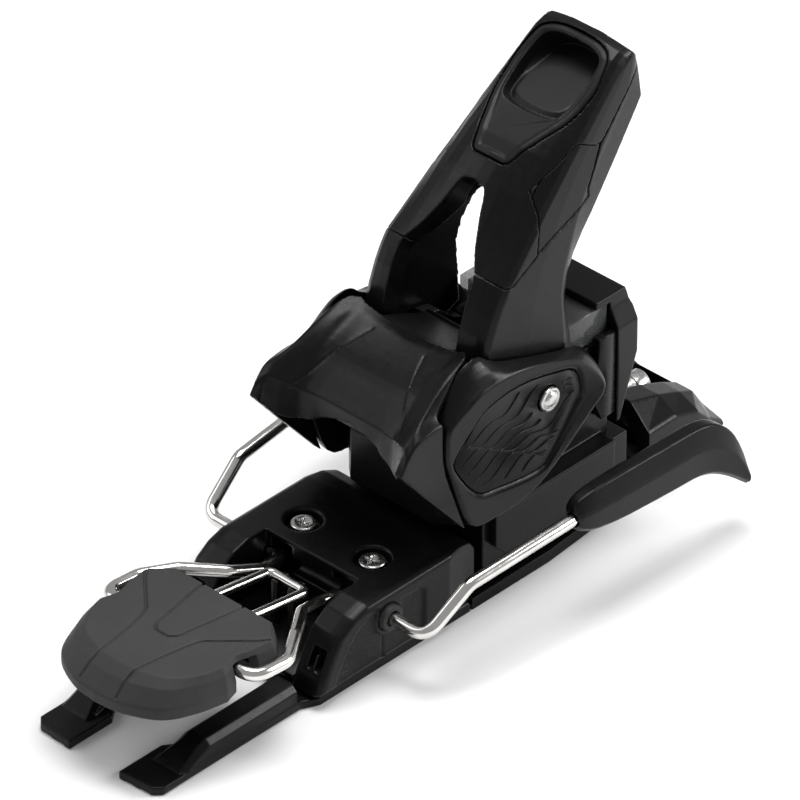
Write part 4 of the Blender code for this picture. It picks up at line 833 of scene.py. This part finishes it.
# (X, Y) lines of the creases in the pedal's top
PEDAL_TONGUE = ((9.6, -56.0), (9.4, -62.0), (6.4, -80.0), (5.6, -85.0), (3.0, -87.8), (0.0, -88.2))
PEDAL_FOLD = ((30.4, -64.6), (27.0, -69.0), (17.0, -78.6), (13.4, -83.0), (10.6, -95.0),
              (8.8, -108.0), (8.4, -112.5), (9.0, -121.0))


def pedal_outline(rear, side, front):
    half = joined(list(map(Vector, rear)), spline(side, 4), spline(front, 6))
    return mirrored([(p[0], p[1]) for p in half] + [front[-1]])


def pedal():
    top = pedal_outline(PEDAL_TOP_REAR, PEDAL_TOP_SIDE, PEDAL_TOP_FRONT)
    rim = pedal_outline(PEDAL_RIM_REAR, PEDAL_RIM_SIDE, PEDAL_RIM_FRONT)
    rings = []
    for z, share in ((PEDAL_RIM, 0.94), (PEDAL_RIM + 0.8, 1.0), (PEDAL_RIM + 4.4, 1.0),
                     (PEDAL_RIM + 5.2, 0.96), (PEDAL_TOP - 2.4, 0.46), (PEDAL_TOP - 0.5, 0.10),
                     (PEDAL_TOP, 0.0)):
        rings.append([(*a.lerp(b, share), z) for a, b in zip(top, rim)])
    cover = loft(rings)
    hollow = mirrored([(22.0, -60.0), (27.4, -66.0), (26.4, -86.0), (20.0, -100.0), (8.0, -104.5)])
    cut(cover, plate(hollow, PEDAL_RIM - 1.0, PEDAL_TOP - 3.2))
    reach = WIRE / 2 + 0.7
    for _, sign in SIDES:
        low, high = side_span(sign, 15.0, 42.0)
        cut(cover, box((low, HOOK[0] - reach, PEDAL_RIM - 1.0),
                       (high, HOOK[0] + reach + 4.0, HOOK[1] + reach)))
        low, high = side_span(sign, 5.0, 13.0)
        cut(cover, box((low, -62.0, PEDAL_RIM - 1.0), (high, -50.0, 34.6)))
    tongue = spline(PEDAL_TONGUE, 5)
    loop = [(p[0], p[1], PEDAL_TOP) for p in tongue]
    loop += [(-p[0], p[1], PEDAL_TOP) for p in reversed(tongue[:-1])]
    groove(cover, loop, (0.0, 0.0, 1.0), 1.0, 0.9)
    for _, sign in SIDES:
        fold = [(sign * p[0], p[1], PEDAL_TOP) for p in spline(PEDAL_FOLD, 6)]
        groove(cover, fold, (0.0, 0.0, 1.0), 1.0, 0.9)
    piece(mould(cover, 2, 0.34), "pedal_cover_look", "pedal_cover")


def brake_wires():
    for side, sign in SIDES:
        path = bent_path([(sign * x, y, z) for x, y, z in ARM_ROUTE], 7.0)
        wire = sweep(path, WIRE / 2, 28)
        wire.data.shade_smooth()
        piece(wire, "brake_wire_%s_look" % side, "brake_wire_" + side)
    spring = sweep(bent_path(SPRING_ROUTE, 3.0, 10), 1.8, 24)
    spring.data.shade_smooth()
    piece(spring, "brake_spring_wire_look", "brake_spring_wire")


# Y, inner X, outer X, underside, top, height of the side ridge
FOOT_ROWS = (
    (57.2, 56.0, 62.2, 36.6, 45.6, 42.0), (60.0, 55.8, 63.4, 34.4, 47.6, 42.4),
    (66.0, 56.0, 64.4, 32.4, 49.2, 42.8), (78.0, 56.4, 65.2, 30.9, 49.9, 43.0),
    (92.0, 56.9, 65.7, 30.2, 50.0, 43.0), (106.0, 57.4, 66.2, 29.8, 50.0, 43.0),
    (116.0, 57.7, 66.5, 29.5, 50.0, 42.8), (123.0, 58.1, 66.9, 28.0, 49.2, 41.4),
    (129.0, 58.6, 67.5, 25.2, 46.6, 38.4), (135.0, 59.6, 68.1, 21.0, 40.6, 32.8),
    (139.6, 60.9, 68.6, 17.2, 31.0, 25.0), (141.8, 61.8, 68.9, 15.3, 22.6, 19.6))


def brake_feet():
    rings = []
    for y, inner, outer, low, top, ridge in FOOT_ROWS:
        wide = outer - inner
        ring = [(inner, low + 1.2), (inner + 1.2, low), (outer - 2.6, low), (outer - 0.5, low + 2.0),
                (outer, ridge - 1.0), (outer - 0.5, ridge + 0.6), (outer - wide * 0.30, top - 0.5),
                (outer - wide * 0.36, top), (inner + 1.0, top), (inner, top - 1.0)]
        rings.append([(x, y, z) for x, z in ring])
    foot = smooth_loft(rings, 4)
    path = bent_path([(53.5, -11.4, 22.6), (56.0, 7.9, 36.3), (61.07, 89.2, 42.08)], 7.0)
    cut(foot, sweep(path, WIRE / 2 + 0.35, 24, ends=False))
    mould(foot, 3)
    piece(mirror(foot), "brake_foot_left_look", "brake_foot_left")
    piece(foot, "brake_foot_right_look", "brake_foot_right")


SCREW_HEAD, SCREW_SHANK = 4.8, 2.75
SCREW_TURN = 0.35
SCREW_TAIL = 0.6


def cross_screw(name, node, x, y, top):
    """Countersunk screw with a star-cornered cross recess, its head's face at a height."""
    head, shank = SCREW_HEAD, SCREW_SHANK
    profile = [(shank, SCREW_TAIL), (shank, top - 3.4), (head - 0.5, top - 1.5), (head, top - 0.9),
               (head, top - 0.5), (head - 0.3, top - 0.15), (head - 0.9, top)]
    screw = lathe(profile, (x, y, 0.0), "z", 48)
    for eighths, reach, half, deep in ((0, 0.62, 0.13, 1.6), (2, 0.62, 0.13, 1.6),
                                       (1, 0.46, 0.05, 0.7), (3, 0.46, 0.05, 0.7)):
        turn = SCREW_TURN + eighths * math.pi / 4
        along = Vector((math.cos(turn), math.sin(turn), 0.0)) * head * reach
        across = Vector((-math.sin(turn), math.cos(turn), 0.0)) * head * half
        rings = []
        for level, share in ((top - deep, 0.55), (top + 0.5, 1.1)):
            middle = Vector((x, y, level))
            rings.append([middle + along * a * share + across * b
                          for a, b in ((-1, -1), (1, -1), (1, 1), (-1, 1))])
        cut(screw, loft(rings))
    bevel(screw, 0.12, 2, 35.0)
    piece(screw, name, node)


def fasteners():
    for side, sign in SIDES:
        cross_screw("front_screw_%s_look" % side, "front_screw_" + side,
                    sign * SCREW_X, 0.0, HOUSE_TOP - 1.0)
        cross_screw("rear_screw_%s_look" % side, "rear_screw_" + side,
                    sign * SCREW_X, REAR_SCREW_Y, REAR_SCREW_TOP)
        start = HOUSE_HALF - 3.2
        bush = [(2.9, 0.0), (5.0, 0.0), (5.0, 4.2), (4.8, 4.9), (4.2, 5.2), (3.3, 5.2), (2.9, 4.8)]
        ring = lathe([(r, sign * (start + h)) for r, h in bush], (0.0, AXLE_Y, AXLE_Z), "x", 40,
                     closed=True)
        ring.data.shade_smooth()
        ring.data.set_sharp_from_angle(angle=math.radians(40))
        piece(ring, "axle_bush_%s_look" % side, "axle_bush_" + side)


pedal()
brake_wires()
brake_feet()
fasteners()


# ---------------------------------------------------------------- brake housing

HOUSE_BASE = 4.6
HOUSE_LINE = ((-47.0, HOUSE_BASE), (-44.4, 11.2), (-40.4, 19.0), (-36.0, 26.0), (-29.4, 30.4),
              (-22.0, HOUSE_TOP), (20.0, HOUSE_TOP), (27.0, 31.8), (33.0, 29.6), (36.4, 25.6),
              (36.4, 12.0), (33.0, 9.0), (33.0, HOUSE_BASE))
SIDE_POCKET = ((7.0, 6.0), (7.0, 26.4), (-18.0, 27.6), (-26.6, 25.0), (-32.6, 18.0), (-39.0, 6.0))
RECESS_HALF, RECESS_BACK = 22.4, -13.0


def brake_housing():
    rings = []
    for x, inset in ((-HOUSE_HALF, 2.2), (-35.3, 1.0), (-33.6, 0.25), (-31.0, 0.0), (31.0, 0.0),
                     (33.6, 0.25), (35.3, 1.0), (HOUSE_HALF, 2.2)):
        rings.append([(x, p[0], max(p[1], HOUSE_BASE)) for p in grow(HOUSE_LINE, -inset)])
    house = loft(rings)
    slots = []
    for _, sign in SIDES:
        pocket = slab(rounded(SIDE_POCKET, 3.0), *side_span(sign, HOUSE_HALF - 1.3, HOUSE_HALF + 3.0))
        cut(pocket, rod(7.0, (0.0, AXLE_Y, AXLE_Z), "x", -45.0, 45.0))
        low, high = side_span(sign, 9.9, 20.2)
        slots.append(box((low, RECESS_BACK - 1.0, AXLE_Z - 4.6),
                         (high, AXLE_Y + 4.0, AXLE_Z + 7.8)))
        low, high = side_span(sign, HOUSE_HALF - 2.0, HOUSE_HALF + 3.0)
        seam = box((low, -14.2, 5.0), (high, -13.5, 17.0))
        low, high = side_span(sign, 26.4, 32.6)
        mouth = box((low, -50.0, 12.6), (high, -37.0, 20.4))
        low, high = side_span(sign, 28.6, 29.8)
        cut(mouth, box((low, -50.0, 12.0), (high, -38.5, 18.0)))
        well = lathe([(2.9, 3.0), (2.9, HOUSE_TOP - 4.6), (6.7, HOUSE_TOP - 4.6),
                      (6.7, HOUSE_TOP - 0.9), (7.8, HOUSE_TOP + 0.2), (7.8, HOUSE_TOP + 3.0)],
                     (sign * SCREW_X, 0.0, 0.0), "z", 40)
        bore = rod(5.15, (0.0, AXLE_Y, AXLE_Z), "x", *side_span(sign, HOUSE_HALF - 3.5, HOUSE_HALF + 4.0))
        corner = [(sign * 37.0, 15.0), (sign * 31.0, 40.0), (sign * 37.0, 40.0)]
        cut(house, pocket, seam, mouth, well, bore, plate(corner, 0.0, 40.0))
    mould(house, 2)
    cut(house, box((-RECESS_HALF, -60.0, 3.0), (RECESS_HALF, RECESS_BACK, 40.0)),
        rod(3.2, (0.0, AXLE_Y, AXLE_Z), "x", -40.0, 40.0),
        box((-31.0, 33.2, 3.0), (31.0, 40.0, 40.0)), *slots)
    piece(mould(house, 2), "brake_housing_look", "brake_housing")


brake_housing()


# ---------------------------------------------------------------- simple pieces from the CAD solids

BEVELLED = {
    "brake_base": 0.6, "housing_panel_left": 0.5, "housing_panel_right": 0.5, "din_window": 0.5,
    "cup_liner": 1.0, "pedal_base": 0.6, "din_indicator": 0.3, "track_rail": 0.7,
    "worm_screw": 0.2, "din_screw": 0.2, "spring_piston": 0.3, "din_nut": 0.3,
    "release_spring": 0, "pressure_spring": 0,
}
MOULDED = ("base_fork", "rail_end_block", "heel_housing", "rear_cover", "carriage", "treadle")


def plain_pieces():
    for node, width in BEVELLED.items():
        thing = copy_of(node)
        if width:
            bevel(thing, width)
        else:
            thing.data.shade_smooth()
        piece(thing, node + "_look", node)
    for node in MOULDED:
        piece(mould(copy_of(node), 2), node + "_look", node)


plain_pieces()


# ---------------------------------------------------------------- stage, light and camera

def floor_material():
    material, tree, shader = nodes_of("floor")
    at = add_node(tree, "ShaderNodeTexCoord").outputs["Object"]
    cloud = add_node(tree, "ShaderNodeTexNoise", Scale=6.0, Detail=3.0)
    link(tree, at, cloud.inputs["Vector"])
    tint = add_node(tree, "ShaderNodeMix", data_type="RGBA")
    tint.inputs["A"].default_value = (0.86, 0.86, 0.86, 1.0)
    tint.inputs["B"].default_value = (0.90, 0.90, 0.90, 1.0)
    link(tree, cloud.outputs["Fac"], tint.inputs["Factor"])
    link(tree, tint.outputs["Result"], shader.inputs["Base Color"])
    shader.inputs["Roughness"].default_value = 0.9
    return material


def stage():
    mesh = bpy.data.meshes.new("floor")
    half = 6.0
    mesh.from_pydata([(-half, -half, 0), (half, -half, 0), (half, half, 0), (-half, half, 0)],
                     [], [(0, 1, 2, 3)])
    floor = bpy.data.objects.new("floor", mesh)
    floor.location.z = -0.0002
    bpy.context.collection.objects.link(floor)
    mesh.materials.append(floor_material())


def area_light(name, place, target, size, power):
    """Soft rectangular lamp at a place, facing a target, in metres."""
    lamp = bpy.data.lights.new(name, "AREA")
    lamp.shape = "RECTANGLE"
    lamp.size, lamp.size_y = size
    lamp.energy = power
    thing = bpy.data.objects.new(name, lamp)
    bpy.context.collection.objects.link(thing)
    thing.location = place
    thing.rotation_euler = (Vector(target) - Vector(place)).to_track_quat("-Z", "Y").to_euler()


def lights():
    world = bpy.data.worlds.new("studio")
    bpy.context.scene.world = world
    world.use_nodes = True
    world.node_tree.nodes["Background"].inputs["Color"].default_value = (1.0, 1.0, 1.0, 1.0)
    world.node_tree.nodes["Background"].inputs["Strength"].default_value = 0.36
    centre = (0.0, 0.03, 0.07)
    area_light("top", (-0.10, 0.20, 1.1), centre, (0.7, 0.6), 12.0)
    area_light("back_right", (0.75, 0.85, 0.55), centre, (0.45, 0.5), 9.0)
    area_light("front_left", (-0.9, -0.6, 0.7), centre, (0.6, 0.8), 3.0)
    # The default view transform would turn the photo's white ground grey
    bpy.context.scene.view_settings.view_transform = "Standard"


def camera():
    lens = bpy.data.cameras.new("camera")
    lens.sensor_width = 36.0
    lens.lens = 450.0
    lens.clip_end = 20.0
    eye = bpy.data.objects.new("camera", lens)
    bpy.context.collection.objects.link(eye)
    azimuth, height, reach = math.radians(43.5), math.radians(35.0), 3.509
    offset = Vector((math.sin(azimuth) * math.cos(height), -math.cos(azimuth) * math.cos(height),
                     math.sin(height)))
    eye.location = Vector((0.0, 31.8, 75.7)) * MM + offset * reach
    eye.rotation_euler = (-offset).to_track_quat("-Z", "Y").to_euler()
    bpy.context.scene.camera = eye


stage()
lights()
camera()
